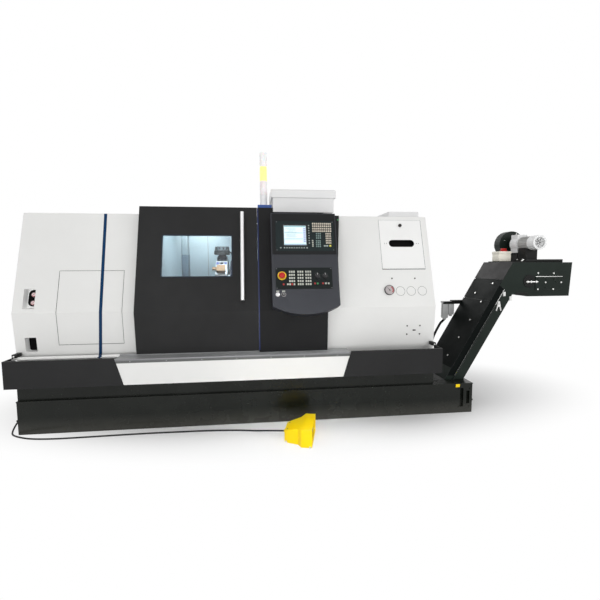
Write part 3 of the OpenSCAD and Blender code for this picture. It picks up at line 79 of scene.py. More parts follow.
def front(fold, z):
    """Y of a front cover at height z, for a cover whose fold lies at fold."""
    return fold + (z - CREASE) * (tan(LEAN) if z > CREASE else -LOW_SLOPE)


def facing(x, y, z, out, up=UPWARD):
    """Local millimetres at a point: Z along out, Y as near to up as it can be."""
    out = Vector(out).normalized()
    across = Vector(up).cross(out).normalized()
    turn = Matrix((across, out.cross(across), out)).transposed().to_4x4()
    return WORKSHOP @ Matrix.Translation((x, y, z)) @ turn


def on_front(x, z, fold, lift=0.0):
    """Local millimetres on a front cover: X across, Y up the cover, Z out of it."""
    slope = tan(LEAN) if z > CREASE else -LOW_SLOPE
    out = Vector((0, -1, slope)).normalized()
    place = Vector((x, front(fold, z), z)) + out * lift
    return facing(*place, out)


def crossings(xs, ys, zs, out, up=UPWARD):
    """Places wherever the given X, Y and Z meet, all facing one way."""
    return [facing(x, y, z, out, up) for x in xs for y in ys for z in zs]


# Outlines and solids

def rounded(width, height, radius, steps=6):
    """Rectangle with round corners, about its middle."""
    points = []
    for corner, (sx, sy) in enumerate(((1, 1), (-1, 1), (-1, -1), (1, -1))):
        for step in range(steps + 1):
            a = radians(90 * (corner + step / steps))
            points.append((sx * (width / 2 - radius) + radius * cos(a),
                           sy * (height / 2 - radius) + radius * sin(a)))
    return points


def round_outline(radius, steps=40):
    return [(radius * cos(2 * pi * i / steps), radius * sin(2 * pi * i / steps)) for i in range(steps)]


def corners(x0, y0, x1, y1):
    """Rectangle between two opposite corners."""
    return [(x0, y0), (x1, y0), (x1, y1), (x0, y1)]


class Shape:
    """Gathers closed solids into one mesh."""

    def __init__(self):
        self.bm = bmesh.new()

    def take(self, bm, place, edge=0.0):
        """Adds a solid, with its sharp edges rounded if wanted."""
        bmesh.ops.recalc_face_normals(bm, faces=bm.faces)
        if edge:
            sharp = [e for e in bm.edges if len(e.link_faces) == 2 and e.calc_face_angle(0) > 0.5]
            bmesh.ops.bevel(bm, geom=sharp, offset=edge, segments=2, profile=0.5,
                            affect="EDGES", clamp_overlap=True)
        bm.transform(place)
        mesh = bpy.data.meshes.new("solid")
        bm.to_mesh(mesh)
        bm.free()
        self.bm.from_mesh(mesh)
        bpy.data.meshes.remove(mesh)
        return self

    def box(self, start, end, place=WORKSHOP, edge=0.0):
        """Block between two opposite corners."""
        bm = bmesh.new()
        bmesh.ops.create_cube(bm, size=1)
        start, end = Vector(start), Vector(end)
        size = [abs(c) for c in end - start]
        bm.transform(Matrix.Translation((start + end) / 2) @ Matrix.Diagonal((*size, 1)))
        return self.take(bm, place, edge)

    def loft(self, sections, place=WORKSHOP, edge=0.0, loop=False):
        """Skin through outlines of equal length, closed at both ends."""
        bm = bmesh.new()
        rows = [[bm.verts.new(p) for p in section] for section in sections]
        count = len(rows[0])
        pairs = list(zip(rows, rows[1:])) + ([(rows[-1], rows[0])] if loop else [])
        for low, high in pairs:
            for i in range(count):
                j = (i + 1) % count
                bm.faces.new((low[i], low[j], high[j], high[i]))
        if not loop:
            bm.faces.new(rows[0][::-1])
            bm.faces.new(rows[-1])
        return self.take(bm, place, edge)

    def prism(self, outline, z0, z1, place, edge=0.0):
        return self.loft([[(x, y, z) for x, y in outline] for z in (z0, z1)], place, edge)

    def ring(self, outer, inner, z0, z1, place):
        """Flat frame between two outlines with the same number of points."""
        return self.loft([[(x, y, z0) for x, y in outer], [(x, y, z1) for x, y in outer],
                          [(x, y, z1) for x, y in inner], [(x, y, z0) for x, y in inner]], place, loop=True)

    def turned(self, profile, place, steps=40, flutes=0, depth=0.0):
        """Solid of revolution about local Z, from pairs of radius and height."""
        bm = bmesh.new()
        rows = []
        for radius, z in profile:
            if radius == 0:
                rows.append([bm.verts.new((0, 0, z))])
                continue
            row = []
            for i in range(steps):
                a = 2 * pi * i / steps
                r = radius + depth * cos(flutes * a)
                row.append(bm.verts.new((r * cos(a), r * sin(a), z)))
            rows.append(row)
        for low, high in zip(rows, rows[1:]):
            for i in range(steps):
                j = (i + 1) % steps
                face = [low[i % len(low)], low[j % len(low)], high[j % len(high)], high[i % len(high)]]
                bm.faces.new(list(dict.fromkeys(face)))
        return self.take(bm, place)

    def tube(self, points, radius, sides=12):
        """Round bar along points."""
        points = [Vector(p) for p in points]
        sections = []
        side = None
        for i, p in enumerate(points):
            along = (points[min(i + 1, len(points) - 1)] - points[max(i - 1, 0)]).normalized()
            if side is None:
                side = along.orthogonal().normalized()
            side = (side - along * side.dot(along)).normalized()
            up = along.cross(side)
            sections.append([p + radius * (cos(a) * side + sin(a) * up)
                             for a in (2 * pi * k / sides for k in range(sides))])
        return self.loft(sections)


SMOOTH = radians(35)


def settle(name, mesh, finish, body):
    """Makes a piece of a mesh, with its finish and soft shading, and hands it to its body."""
    mesh.materials.clear()
    mesh.materials.append(finish)
    mesh.polygons.foreach_set("use_smooth", [True] * len(mesh.polygons))
    mesh.set_sharp_from_angle(angle=SMOOTH)
    obj = bpy.data.objects.new(name, mesh)
    scene.collection.objects.link(obj)
    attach(obj, body)
    return obj


def piece(name, shape, finish, body="machine"):
    mesh = bpy.data.meshes.new(name)
    shape.bm.to_mesh(mesh)
    shape.bm.free()
    return settle(name, mesh, finish, body)


def block(name, start, end, edge, finish):
    """A piece that is one plain block."""
    piece(name, Shape().box(start, end, edge=edge), finish)


def softened(node, width, finish, segments=3):
    """Copy of a CAD solid with rounded edges, in the solid's place."""
    source = cad_nodes[node]
    bm = bmesh.new()
    bm.from_mesh(source.data)
    bmesh.ops.remove_doubles(bm, verts=bm.verts, dist=2e-6)
    bmesh.ops.dissolve_limit(bm, angle_limit=radians(2), verts=bm.verts, edges=bm.edges)
    sharp = [e for e in bm.edges if len(e.link_faces) == 2 and e.calc_face_angle(0) > 0.4]
    bmesh.ops.bevel(bm, geom=sharp, offset=width * MM, segments=segments, profile=0.5,
                    affect="EDGES", clamp_overlap=True)
    mesh = bpy.data.meshes.new(node + "_rounded")
    bm.to_mesh(mesh)
    bm.free()
    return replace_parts(settle(mesh.name, mesh, finish, source["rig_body"]), node)


# Repeated pieces, grown by node trees

def new_tree(name, inputs):
    tree = bpy.data.node_groups.new(name, "GeometryNodeTree")
    tree.interface.new_socket("Geometry", in_out="INPUT", socket_type="NodeSocketGeometry")
    for label, kind in inputs:
        tree.interface.new_socket(label, in_out="INPUT", socket_type="NodeSocket" + kind)
    tree.interface.new_socket("Geometry", in_out="OUTPUT", socket_type="NodeSocketGeometry")
    return tree, tree.nodes.new("NodeGroupInput").outputs, tree.nodes.new("NodeGroupOutput").inputs


def add_node(tree, kind, inputs=None, **settings):
    """Adds a node; inputs are values or sockets by name or number."""
    node = tree.nodes.new(kind)
    for key, value in settings.items():
        setattr(node, key, value)
    for key, value in (inputs or {}).items():
        if isinstance(value, bpy.types.NodeSocket):
            tree.links.new(value, node.inputs[key])
        else:
            node.inputs[key].default_value = value
    return node


def output(tree, kind, inputs=None, **settings):
    """First output of a new node."""
    return add_node(tree, kind, inputs, **settings).outputs[0]


def calc(tree, operation, *values, **settings):
    """Result of one sum on values or sockets."""
    return output(tree, "ShaderNodeMath", dict(enumerate(values)), operation=operation, **settings)


def close_tree(tree, given, made, mesh):
    """Gives a tree's mesh its material and ends the tree."""
    done = output(tree, "GeometryNodeSetMaterial", {"Geometry": mesh, "Material": given["Material"]})
    tree.links.new(done, made["Geometry"])
    return tree


def stud_tree():
    """A chamfered prism with a socket on every point, turned to the point's own directions."""
    tree, given, made = new_tree("studs", (
        ("Sides", "Int"), ("Turn", "Float"), ("Radius", "Float"), ("Height", "Float"), ("Chamfer", "Float"),
        ("Taper", "Float"), ("Socket", "Float"), ("Depth", "Float"), ("Material", "Material")))
    disc = output(tree, "GeometryNodeMeshCircle", {"Vertices": given["Sides"], "Radius": given["Radius"]},
                  fill_type="NGON")
    under = output(tree, "GeometryNodeFlipFaces", {"Mesh": disc})

    def pull(mesh, top, length, scale=None):
        wanted = {"Mesh": mesh, "Offset Scale": length}
        if top:
            wanted["Selection"] = top
        pulled = add_node(tree, "GeometryNodeExtrudeMesh", wanted, mode="FACES").outputs
        mesh, top = pulled["Mesh"], pulled["Top"]
        if scale:
            wanted = {"Geometry": mesh, "Selection": top, "Scale": scale}
            mesh = output(tree, "GeometryNodeScaleElements", wanted, domain="FACE")
        return mesh, top

    mesh, top = pull(disc, None, given["Height"])
    mesh, top = pull(mesh, top, given["Chamfer"], given["Taper"])
    mesh, top = pull(mesh, top, 0.0, given["Socket"])
    mesh, top = pull(mesh, top, calc(tree, "MULTIPLY", given["Depth"], -1.0))
    both = add_node(tree, "GeometryNodeJoinGeometry")
    tree.links.new(mesh, both.inputs[0])
    tree.links.new(under, both.inputs[0])
    closed = output(tree, "GeometryNodeMergeByDistance", {"Geometry": both.outputs[0], "Distance": 1e-6})
    spin = output(tree, "ShaderNodeCombineXYZ", {"Z": given["Turn"]})
    stud = output(tree, "GeometryNodeTransform", {"Geometry": closed, "Rotation": spin})

    def of_point(name):
        return output(tree, "GeometryNodeInputNamedAttribute", {"Name": name}, data_type="FLOAT_VECTOR")

    rise = output(tree, "FunctionNodeAlignRotationToVector", {"Vector": of_point("facing")}, axis="Z")
    turn = output(tree, "FunctionNodeAlignRotationToVector", {"Rotation": rise, "Vector": of_point("across")},
                  axis="X", pivot_axis="Z")
    spread = output(tree, "GeometryNodeInstanceOnPoints", {
        "Points": given["Geometry"], "Instance": stud, "Rotation": turn, "Scale": of_point("size")})
    return close_tree(tree, given, made, output(tree, "GeometryNodeRealizeInstances", {"Geometry": spread}))


def hose_tree():
    """A ribbed hose along a line of points."""
    tree, given, made = new_tree("hose", (
        ("Radius", "Float"), ("Rib", "Float"), ("Pitch", "Float"), ("Material", "Material")))
    line = output(tree, "GeometryNodeMeshToCurve", {"Mesh": given["Geometry"]})
    bend = output(tree, "GeometryNodeCurveSplineType", {"Curve": line}, spline_type="CATMULL_ROM")
    step = calc(tree, "MULTIPLY", given["Pitch"], 0.25)
    fine = output(tree, "GeometryNodeResampleCurve", {"Curve": bend, "Length": step}, mode="LENGTH")
    along = add_node(tree, "GeometryNodeSplineParameter").outputs["Length"]
    phase = calc(tree, "MULTIPLY", calc(tree, "DIVIDE", along, given["Pitch"]), 2 * pi)
    rib = calc(tree, "MULTIPLY_ADD", calc(tree, "SINE", phase), given["Rib"], given["Radius"])
    profile = output(tree, "GeometryNodeCurvePrimitiveCircle", {"Resolution": 14, "Radius": 1.0})
    skin = output(tree, "GeometryNodeCurveToMesh", {
        "Curve": fine, "Profile Curve": profile, "Scale": rib, "Fill Caps": True})
    return close_tree(tree, given, made, skin)


def grille_tree():
    """Round wire grille: rings and spokes about the given point."""
    tree, given, made = new_tree("grille", (
        ("Rings", "Int"), ("Step", "Float"), ("Wire", "Float"), ("Spokes", "Int"), ("Material", "Material")))
    wire = output(tree, "GeometryNodeCurvePrimitiveCircle", {"Resolution": 6, "Radius": given["Wire"]})
    circle = output(tree, "GeometryNodeCurvePrimitiveCircle", {"Resolution": 40, "Radius": 1.0})
    index = output(tree, "GeometryNodeInputIndex")
    size = calc(tree, "MULTIPLY", calc(tree, "ADD", index, 1.0), given["Step"])
    end = output(tree, "ShaderNodeCombineXYZ", {"X": calc(tree, "MULTIPLY", given["Rings"], given["Step"])})
    start = output(tree, "ShaderNodeCombineXYZ", {"X": given["Step"]})
    spoke = output(tree, "GeometryNodeCurvePrimitiveLine", {"Start": start, "End": end})
    angle = calc(tree, "DIVIDE", 2 * pi, given["Spokes"])
    spin = output(tree, "ShaderNodeCombineXYZ", {"Z": calc(tree, "MULTIPLY", index, angle)})
    both = add_node(tree, "GeometryNodeJoinGeometry")
    for count, wanted in (("Rings", {"Instance": circle, "Scale": size}),
                          ("Spokes", {"Instance": spoke, "Rotation": spin})):
        middle = output(tree, "GeometryNodePoints", {"Count": given[count]})
        copies = output(tree, "GeometryNodeInstanceOnPoints", {"Points": middle, **wanted})
        tree.links.new(copies, both.inputs[0])
    real = output(tree, "GeometryNodeRealizeInstances", {"Geometry": both.outputs[0]})
    skin = output(tree, "GeometryNodeCurveToMesh", {"Curve": real, "Profile Curve": wire, "Fill Caps": True})
    return close_tree(tree, given, made, skin)


def grown(name, tree, mesh, finish, place=None, body="machine", slot=None, **sizes):
    """The plain mesh that a tree makes of its points."""
    seed = bpy.data.objects.new(name + "_seed", mesh)
    scene.collection.objects.link(seed)
    modifier = seed.modifiers.new("grow", "NODES")
    modifier.node_group = tree
    sizes["Material"] = finish
    for item in tree.interface.items_tree:
        if item.in_out == "INPUT" and item.name in sizes:
            modifier[item.identifier] = sizes[item.name]
    ready = seed.evaluated_get(bpy.context.evaluated_depsgraph_get())
    result = bpy.data.meshes.new_from_object(ready)
    bpy.data.objects.remove(seed)
    result.name = name
    if place:
        result.transform(place)
    return settle(name, result, finish, body)


STUDS, HOSE, GRILLE = stud_tree(), hose_tree(), grille_tree()
HEX = dict(Sides=6, Taper=0.86, Socket=0.5, Depth=0.0)
ALLEN = dict(Sides=18, Taper=0.9, Socket=0.52, Depth=0.6)
BUTTON = dict(Sides=18, Taper=0.6, Socket=0.5, Depth=0.3)
BLOCK = dict(Sides=4, Turn=pi / 4, Taper=0.9, Socket=0.86, Depth=0.0)


def studs(name, places, finish, kind, radius, height, size=(1, 1, 1), chamfer=0.25, body="machine",
          slot=None):
    """Heads, keys or bars of one kind at a list of places, sized in millimetres."""
    mesh = bpy.data.meshes.new(name + "_points")
    mesh.from_pydata([p.translation for p in places], [], [])
    sizes = size if isinstance(size, list) else [size] * len(places)
    columns = {"facing": [p.col[2].xyz.normalized() for p in places],
               "across": [p.col[0].xyz.normalized() for p in places],
               "size": [Vector(s) * MM for s in sizes]}
    for label, values in columns.items():
        store = mesh.attributes.new(label, "FLOAT_VECTOR", "POINT")
        store.data.foreach_set("vector", [c for v in values for c in v])
    grow = dict(kind)
    grow["Depth"] = grow["Depth"] * height
    if grow["Sides"] == 4:
        radius = radius * sqrt(2)
    return grown(name, STUDS, mesh, finish, None, body, slot, Radius=float(radius),
                 Height=height * (1 - chamfer), Chamfer=height * chamfer, **grow)


# Finishes

class Finish:
    """A procedural material built round one shader; fixed values sit on the shader's own sockets."""

    def __init__(self, name, **sockets):
        self.material = bpy.data.materials.new(name)
        self.material.use_nodes = True
        self.tree = self.material.node_tree
        self.shader = self.tree.nodes["Principled BSDF"]
        for label, value in sockets.items():
            self.shader.inputs[label.replace("_", " ")].default_value = value
        self.place = self.add("ShaderNodeTexCoord").outputs["Object"]
        self.normal = None

    def add(self, kind, inputs=None, **settings):
        return add_node(self.tree, kind, inputs, **settings)

    def set(self, label, socket):
        self.tree.links.new(socket, self.shader.inputs[label])
        return self

    def stretched(self, scale, shift=(0, 0, 0)):
        wanted = {"Vector": self.place, "Location": shift, "Scale": scale}
        return self.add("ShaderNodeMapping", wanted).outputs[0]

    def noise(self, scale, detail, place=None):
        wanted = {"Vector": place or self.place, "Scale": scale, "Detail": detail, "Roughness": 0.55}
        return self.add("ShaderNodeTexNoise", wanted).outputs["Fac"]

    def ramp(self, value, low, high, start=0.3, end=0.7):
        wanted = {"Value": value, "From Min": start, "From Max": end, "To Min": low, "To Max": high}
        return self.add("ShaderNodeMapRange", wanted, interpolation_type="SMOOTHSTEP").outputs["Result"]

    def math(self, operation, a, b):
        return calc(self.tree, operation, a, b, use_clamp=True)

    def mix(self, share, a, b):
        node = self.add("ShaderNodeMix", {0: share}, data_type="RGBA")
        for number, value in ((6, a), (7, b)):
            if isinstance(value, bpy.types.NodeSocket):
                self.tree.links.new(value, node.inputs[number])
            else:
                node.inputs[number].default_value = (*value[:3], 1)
        return node.outputs[2]

    def bump(self, height, strength, distance):
        wanted = {"Height": height, "Strength": strength, "Distance": distance}
        if self.normal:
            wanted["Normal"] = self.normal
        self.normal = self.add("ShaderNodeBump", wanted).outputs[0]
        return self.set("Normal", self.normal)

    def edges(self, radius):
        """Share of wear and painted highlight along sharp edges, from the angle between the face and its
        rounded neighbour.
        """
        soft = self.add("ShaderNodeBevel", {"Radius": radius}, samples=4).outputs[0]
        plain = self.add("ShaderNodeNewGeometry").outputs["Normal"]
        turn = self.add("ShaderNodeVectorMath", {0: soft, 1: plain}, operation="DOT_PRODUCT").outputs["Value"]
        return self.ramp(turn, 1.0, 0.0, 0.72, 0.97)

    def band(self, axis, low, high):
        """Share that is 1 between two places along an axis, in metres."""
        spot = self.add("ShaderNodeSeparateXYZ", {0: self.place}).outputs[axis]
        return self.math("MULTIPLY", self.math("GREATER_THAN", spot, low), self.math("LESS_THAN", spot, high))

    def height(self, low, high):
        """Share that falls from 1 at height low to 0 at height high, in metres."""
        z = self.add("ShaderNodeSeparateXYZ", {0: self.place}).outputs["Z"]
        return self.ramp(z, 1.0, 0.0, low, high)


def shade(colour, factor):
    return tuple(min(1.0, c * factor) for c in colour)


def coat(name, colour, rough, grain, peel, spread, specular, wear_and_highlight=None, dusty=0.0, bands=()):
    """Powder coat or paint: orange peel, clouding, edges lighter from wear and painted highlight, dust low
    down, bands of other paint and of painted light.
    """
    f = Finish(name, Specular_IOR_Level=specular)
    cloud = f.noise(2.3, 4.0)
    tone = f.mix(f.ramp(cloud, 0.0, 1.0), shade(colour, 1 - spread), shade(colour, 1 + spread))
    for axis, low, high, other in bands:
        tone = f.mix(f.band(axis, low, high), tone, other)
    # Lighter edges: real wear, and painted highlights along the edges.
    if wear_and_highlight:
        patch = f.math("MULTIPLY", f.edges(0.004), f.ramp(f.noise(38.0, 5.0), 0.1, 0.75))
        tone = f.mix(patch, tone, wear_and_highlight)
    if dusty:
        low = f.math("MULTIPLY", f.height(0.0, 0.16), f.ramp(f.noise(14.0, 5.0), 0.15, dusty))
        tone = f.mix(low, tone, (0.30, 0.29, 0.26))
    f.set("Base Color", tone)
    f.set("Roughness", f.ramp(f.noise(7.0, 6.0), rough - 0.05, rough + 0.09))
    f.bump(f.noise(peel, 2.0), grain, 0.0006)
    return f.material


def casting(name, colour, rough=0.55):
    """Painted casting: lumpy skin with small pits."""
    f = Finish(name, Specular_IOR_Level=0.35)
    lumps = f.noise(60.0, 6.0)
    f.set("Base Color", f.mix(f.ramp(lumps, 0.0, 1.0), shade(colour, 0.86), shade(colour, 1.1)))
    f.set("Roughness", f.ramp(f.noise(23.0, 4.0), rough - 0.08, rough + 0.1))
    f.bump(lumps, 0.25, 0.002)
    f.bump(f.noise(420.0, 3.0), 0.2, 0.0005)
    return f.material


def brushed(name, colour, stretch, rough, metallic=1.0):
    """Metal drawn or ground in one direction."""
    f = Finish(name, Metallic=metallic)
    lines = f.noise(1.0, 3.0, f.stretched(stretch))
    f.set("Base Color", f.mix(f.ramp(lines, 0.0, 1.0, 0.2, 0.8), shade(colour, 0.86), shade(colour, 1.08)))
    f.set("Roughness", f.ramp(lines, rough - 0.06, rough + 0.1, 0.2, 0.8))
    f.bump(lines, 0.12, 0.0004)
    return f.material


def lathed(name, colour, shift, rough=0.28):
    """Turned steel: fine rings about its own axis along X, with oily stains."""
    f = Finish(name, Metallic=1.0)
    wanted = {"Vector": f.stretched((1, 1, 1), shift), "Scale": 260.0, "Distortion": 0.4, "Detail": 2.0}
    rings = f.add("ShaderNodeTexWave", wanted, wave_type="RINGS", rings_direction="X").outputs["Fac"]
    stain = f.noise(11.0, 5.0)
    f.set("Base Color", f.mix(f.ramp(stain, 0.0, 1.0), shade(colour, 0.8), shade(colour, 1.05)))
    f.set("Roughness", f.ramp(stain, rough + 0.12, rough - 0.04))
    f.bump(rings, 0.08, 0.0003)
    return f.material


def moulded(name, colour, rough=0.5, grain=0.2, scale=900.0, specular=0.35):
    """Moulded plastic or rubber with a fine leathery grain."""
    f = Finish(name, Specular_IOR_Level=specular)
    f.set("Base Color", f.mix(f.ramp(f.noise(19.0, 4.0), 0.0, 1.0), shade(colour, 0.94), shade(colour, 1.06)))
    f.set("Roughness", f.ramp(f.noise(46.0, 4.0), rough - 0.06, rough + 0.08))
    f.bump(f.noise(scale, 2.0), grain, 0.0003)
    return f.material


def glowing(name, colour, strength):
    """Lit plastic or display: light that varies slightly across it."""
    f = Finish(name, Roughness=0.25, Emission_Strength=strength)
    lines = f.noise(1.0, 2.0, f.stretched((8.0, 8.0, 600.0)))
    tone = f.mix(f.ramp(lines, 0.0, 1.0), shade(colour, 0.82), colour)
    f.set("Base Color", tone)
    f.set("Emission Color", tone)
    return f.material


def clear_glass(name, tint):
    f = Finish(name, Transmission_Weight=1.0, IOR=1.3)
    f.set("Base Color", f.mix(f.ramp(f.noise(3.0, 3.0), 0.0, 1.0), shade(tint, 0.97), tint))
    f.set("Roughness", f.ramp(f.noise(16.0, 6.0), 0.0, 0.04))
    return f.material


def frosted(name, colour, glow):
    """Ribbed lamp cover: milky plastic that lets light through."""
    f = Finish(name, Specular_IOR_Level=0.5, Subsurface_Weight=0.25, Subsurface_Scale=0.02,
               Emission_Strength=glow)
    tone = f.mix(f.ramp(f.noise(28.0, 3.0), 0.0, 1.0), shade(colour, 0.94), colour)
    f.set("Base Color", tone)
    f.set("Emission Color", tone)
    f.set("Roughness", f.ramp(f.noise(60.0, 3.0), 0.22, 0.34))
    f.bump(f.noise(500.0, 2.0), 0.1, 0.0003)
    return f.material


# Coats: colour, roughness, grain, fineness of the grain, clouding, gloss

white = coat("white_powder_coat", (0.79, 0.79, 0.775), 0.42, 0.10, 520.0, 0.015, 0.3)
# Lighter copy of the cover's white for the inspection lid: painted light.
lid_lit_white = coat("lid_painted_light_coat", (0.86, 0.86, 0.85), 0.42, 0.10, 520.0, 0.015, 0.3)
# Brighter copy of the white for the walls inside the gauge recess: painted light against the shade there.
recess_painted_light = coat("recess_painted_light_coat", (0.97, 0.97, 0.96), 0.5, 0.10, 520.0, 0.015, 0.3)
roof_white = coat("roof_powder_coat", (0.77, 0.77, 0.77), 0.46, 0.10, 480.0, 0.02, 0.3)
charcoal = coat("charcoal_powder_coat", (0.0145, 0.0146, 0.0150), 0.46, 0.16, 520.0, 0.08, 0.17,
                wear_and_highlight=(0.045, 0.045, 0.05))
column_charcoal = coat("column_powder_coat", (0.0105, 0.0106, 0.0112), 0.46, 0.16, 520.0, 0.08, 0.13,
                       wear_and_highlight=(0.04, 0.04, 0.045))
tank_black = coat("tank_gloss_paint", (0.0050, 0.0066, 0.0046), 0.24, 0.12, 190.0, 0.12, 0.24,
                  wear_and_highlight=(0.05, 0.052, 0.045), dusty=0.12)
conveyor_black = coat("conveyor_gloss_paint", (0.0100, 0.0160, 0.0125), 0.34, 0.14, 240.0, 0.15, 0.15,
                      wear_and_highlight=(0.14, 0.145, 0.145))
cover_black = coat("cover_plate_paint", (0.0026, 0.0042, 0.0038), 0.45, 0.15, 240.0, 0.14, 0.05,
                   wear_and_highlight=(0.12, 0.12, 0.12))
stand_black = coat("motor_stand_paint", (0.0100, 0.0105, 0.0100), 0.4, 0.15, 240.0, 0.14, 0.14,
                   wear_and_highlight=(0.09, 0.09, 0.09))
# Lighter copy of the cover plate paint for the upper plate: painted light.
cover_plate_lit = coat("upper_plate_painted_light", (0.030, 0.029, 0.029), 0.45, 0.15, 240.0, 0.10, 0.12,
                  wear_and_highlight=(0.14, 0.14, 0.14))
liner = coat("chamber_paint", (0.58, 0.69, 0.75), 0.34, 0.10, 420.0, 0.06, 0.4)
# Rail paint. Its first band turns the rail's left end near white, brighter than the cover's white as painted
# light against the shade under the cover; its second band is the blue stripe.
rail_grey = coat("rail_paint", (0.31, 0.315, 0.32), 0.38, 0.1, 420.0, 0.08, 0.4, wear_and_highlight=(0.5, 0.5, 0.5),
                 bands=[("X", -3.0, -1.027, (0.95, 0.95, 0.935)),
                        ("X", -1.2035, -1.1765, (0.0006, 0.030, 0.095))])
# Dark grey of panel seams, and painted shade in the knock-out grooves and under the rail's bead.
joint_and_shade_grey = coat("joint_and_shade_paint", (0.115, 0.12, 0.118), 0.42, 0.1, 420.0, 0.08, 0.3)
slate = coat("panel_slate_coat", (0.029, 0.031, 0.038), 0.44, 0.18, 640.0, 0.08, 0.28,
             wear_and_highlight=(0.07, 0.075, 0.085))
fascia_black = coat("panel_frame_coat", (0.0080, 0.0086, 0.0096), 0.42, 0.14, 640.0, 0.08, 0.18)
stripe_blue = coat("blue_trim", (0.0006, 0.030, 0.095), 0.4, 0.08, 600.0, 0.05, 0.12)
edge_blue = coat("blue_edge_trim", (0.008, 0.018, 0.105), 0.38, 0.08, 600.0, 0.06, 0.35)
yellow = coat("yellow_paint", (1.0, 0.68, 0.004), 0.34, 0.16, 300.0, 0.05, 0.2, wear_and_highlight=(0.92, 0.72, 0.16))
motor_silver = coat("motor_silver_paint", (0.82, 0.825, 0.825), 0.36, 0.14, 380.0, 0.06, 0.45,
                    bands=[("Y", -0.557, -0.397, (0.50, 0.50, 0.49))])
cream = coat("cream_box_paint", (0.94, 0.90, 0.79), 0.4, 0.1, 420.0, 0.04, 0.35)
duct_pale = coat("duct_pale_paint", (0.40, 0.48, 0.53), 0.4, 0.1, 420.0, 0.06, 0.3)
duct_blue = coat("duct_paint", (0.17, 0.235, 0.30), 0.4, 0.1, 420.0, 0.06, 0.3)
iron = casting("bed_iron_paint", (0.15, 0.162, 0.17))
slide_grey = casting("slide_grey_paint", (0.26, 0.275, 0.285), 0.48)
spindle_steel = lathed("spindle_steel", (0.60, 0.61, 0.62), (0, 0.195, -1.08))
turret_steel = lathed("turret_steel", (0.46, 0.48, 0.50), (0, -0.22069, -1.32), rough=0.34)
screw_steel = lathed("screw_steel", (0.62, 0.62, 0.61), (0, -0.23005, -0.78709))
shaft_steel = brushed("shaft_steel", (0.55, 0.55, 0.55), (60, 900, 60), 0.34)
bright = brushed("bright_zinc", (0.80, 0.80, 0.78), (240, 240, 240), 0.24)
dull_screw = brushed("dark_screw", (0.22, 0.22, 0.23), (300, 300, 300), 0.4)
chrome = brushed("collar_chrome", (0.62, 0.60, 0.60), (180, 180, 180), 0.2)
blackened = brushed("blackened_steel", (0.050, 0.047, 0.047), (300, 300, 300), 0.36)
handle_silver = brushed("handle_aluminium", (0.76, 0.76, 0.765), (900, 30, 30), 0.42, 0.75)
slat_steel = brushed("slat_steel", (0.30, 0.30, 0.30), (60, 20, 300), 0.42)
rubber = moulded("black_rubber", (0.012, 0.012, 0.0125), 0.5, 0.3, 700.0, 0.3)
hose_black = moulded("hose_black", (0.006, 0.006, 0.0065), 0.6, 0.3, 700.0, 0.12)
gasket = moulded("window_gasket", (0.012, 0.018, 0.032), 0.45, 0.2, 700.0, 0.3)
black_plastic = moulded("black_plastic", (0.012, 0.0125, 0.0135), 0.38, 0.2, 900.0, 0.4)
panel_green = moulded("panel_membrane", (0.0070, 0.0138, 0.0150), 0.45, 0.14, 900.0, 0.2)
mcp_green = moulded("switch_plate", (0.0062, 0.0092, 0.0090), 0.45, 0.14, 900.0, 0.14)
pit_black = moulded("dark_pocket", (0.0026, 0.0026, 0.0028), 0.65, 0.2, 400.0, 0.06)
key_beige = moulded("beige_keys", (0.60, 0.545, 0.46))
key_teal = moulded("teal_keys", (0.20, 0.285, 0.275))
scale_grey = moulded("scale_grey", (0.10, 0.11, 0.11), 0.5, 0.2, 900.0, 0.3)
key_grey = moulded("grey_keys", (0.34, 0.39, 0.375))
key_pale = moulded("pale_keys", (0.52, 0.535, 0.48))
key_yellow = moulded("yellow_key", (0.66, 0.60, 0.10))
key_red = moulded("red_keys", (0.40, 0.03, 0.03), 0.45)
key_green = moulded("green_keys", (0.05, 0.30, 0.10), 0.45)
stop_red = moulded("stop_red", (0.46, 0.010, 0.006), 0.35, 0.1, 900.0, 0.35)
collar_yellow = moulded("collar_yellow", (0.86, 0.52, 0.02), 0.4, 0.12, 900.0, 0.4)
button_white = moulded("white_button", (0.80, 0.80, 0.79), 0.3, 0.1, 900.0, 0.5)
plug_grey = moulded("plug_grey", (0.44, 0.445, 0.445), 0.4, 0.25, 500.0, 0.4)
dial_white = moulded("dial_white", (0.46, 0.42, 0.42), 0.4, 0.08, 900.0, 0.4)
dial_rose = moulded("dial_rose", (0.80, 0.60, 0.61), 0.4, 0.08, 900.0, 0.4)
mark_red = moulded("dial_red", (0.46, 0.03, 0.04), 0.4, 0.1, 900.0, 0.4)
tower_blue = moulded("tower_blue", (0.018, 0.075, 0.30), 0.4, 0.15, 700.0, 0.4)
tower_pale = moulded("tower_socket", (0.90, 0.90, 0.91), 0.4, 0.12, 700.0, 0.4)
lens_clear = frosted("lens_pale", (0.88, 0.88, 0.885), 0.10)
lens_yellow = frosted("lens_yellow", (0.98, 0.90, 0.26), 0.55)
lens_rose = frosted("lens_rose", (0.90, 0.855, 0.85), 0.08)
tool_blue = coat("tool_blue", (0.16, 0.22, 0.55), 0.35, 0.1, 500.0, 0.08, 0.4)
tool_dark = coat("tool_dark", (0.010, 0.013, 0.022), 0.5, 0.1, 500.0, 0.08, 0.12)
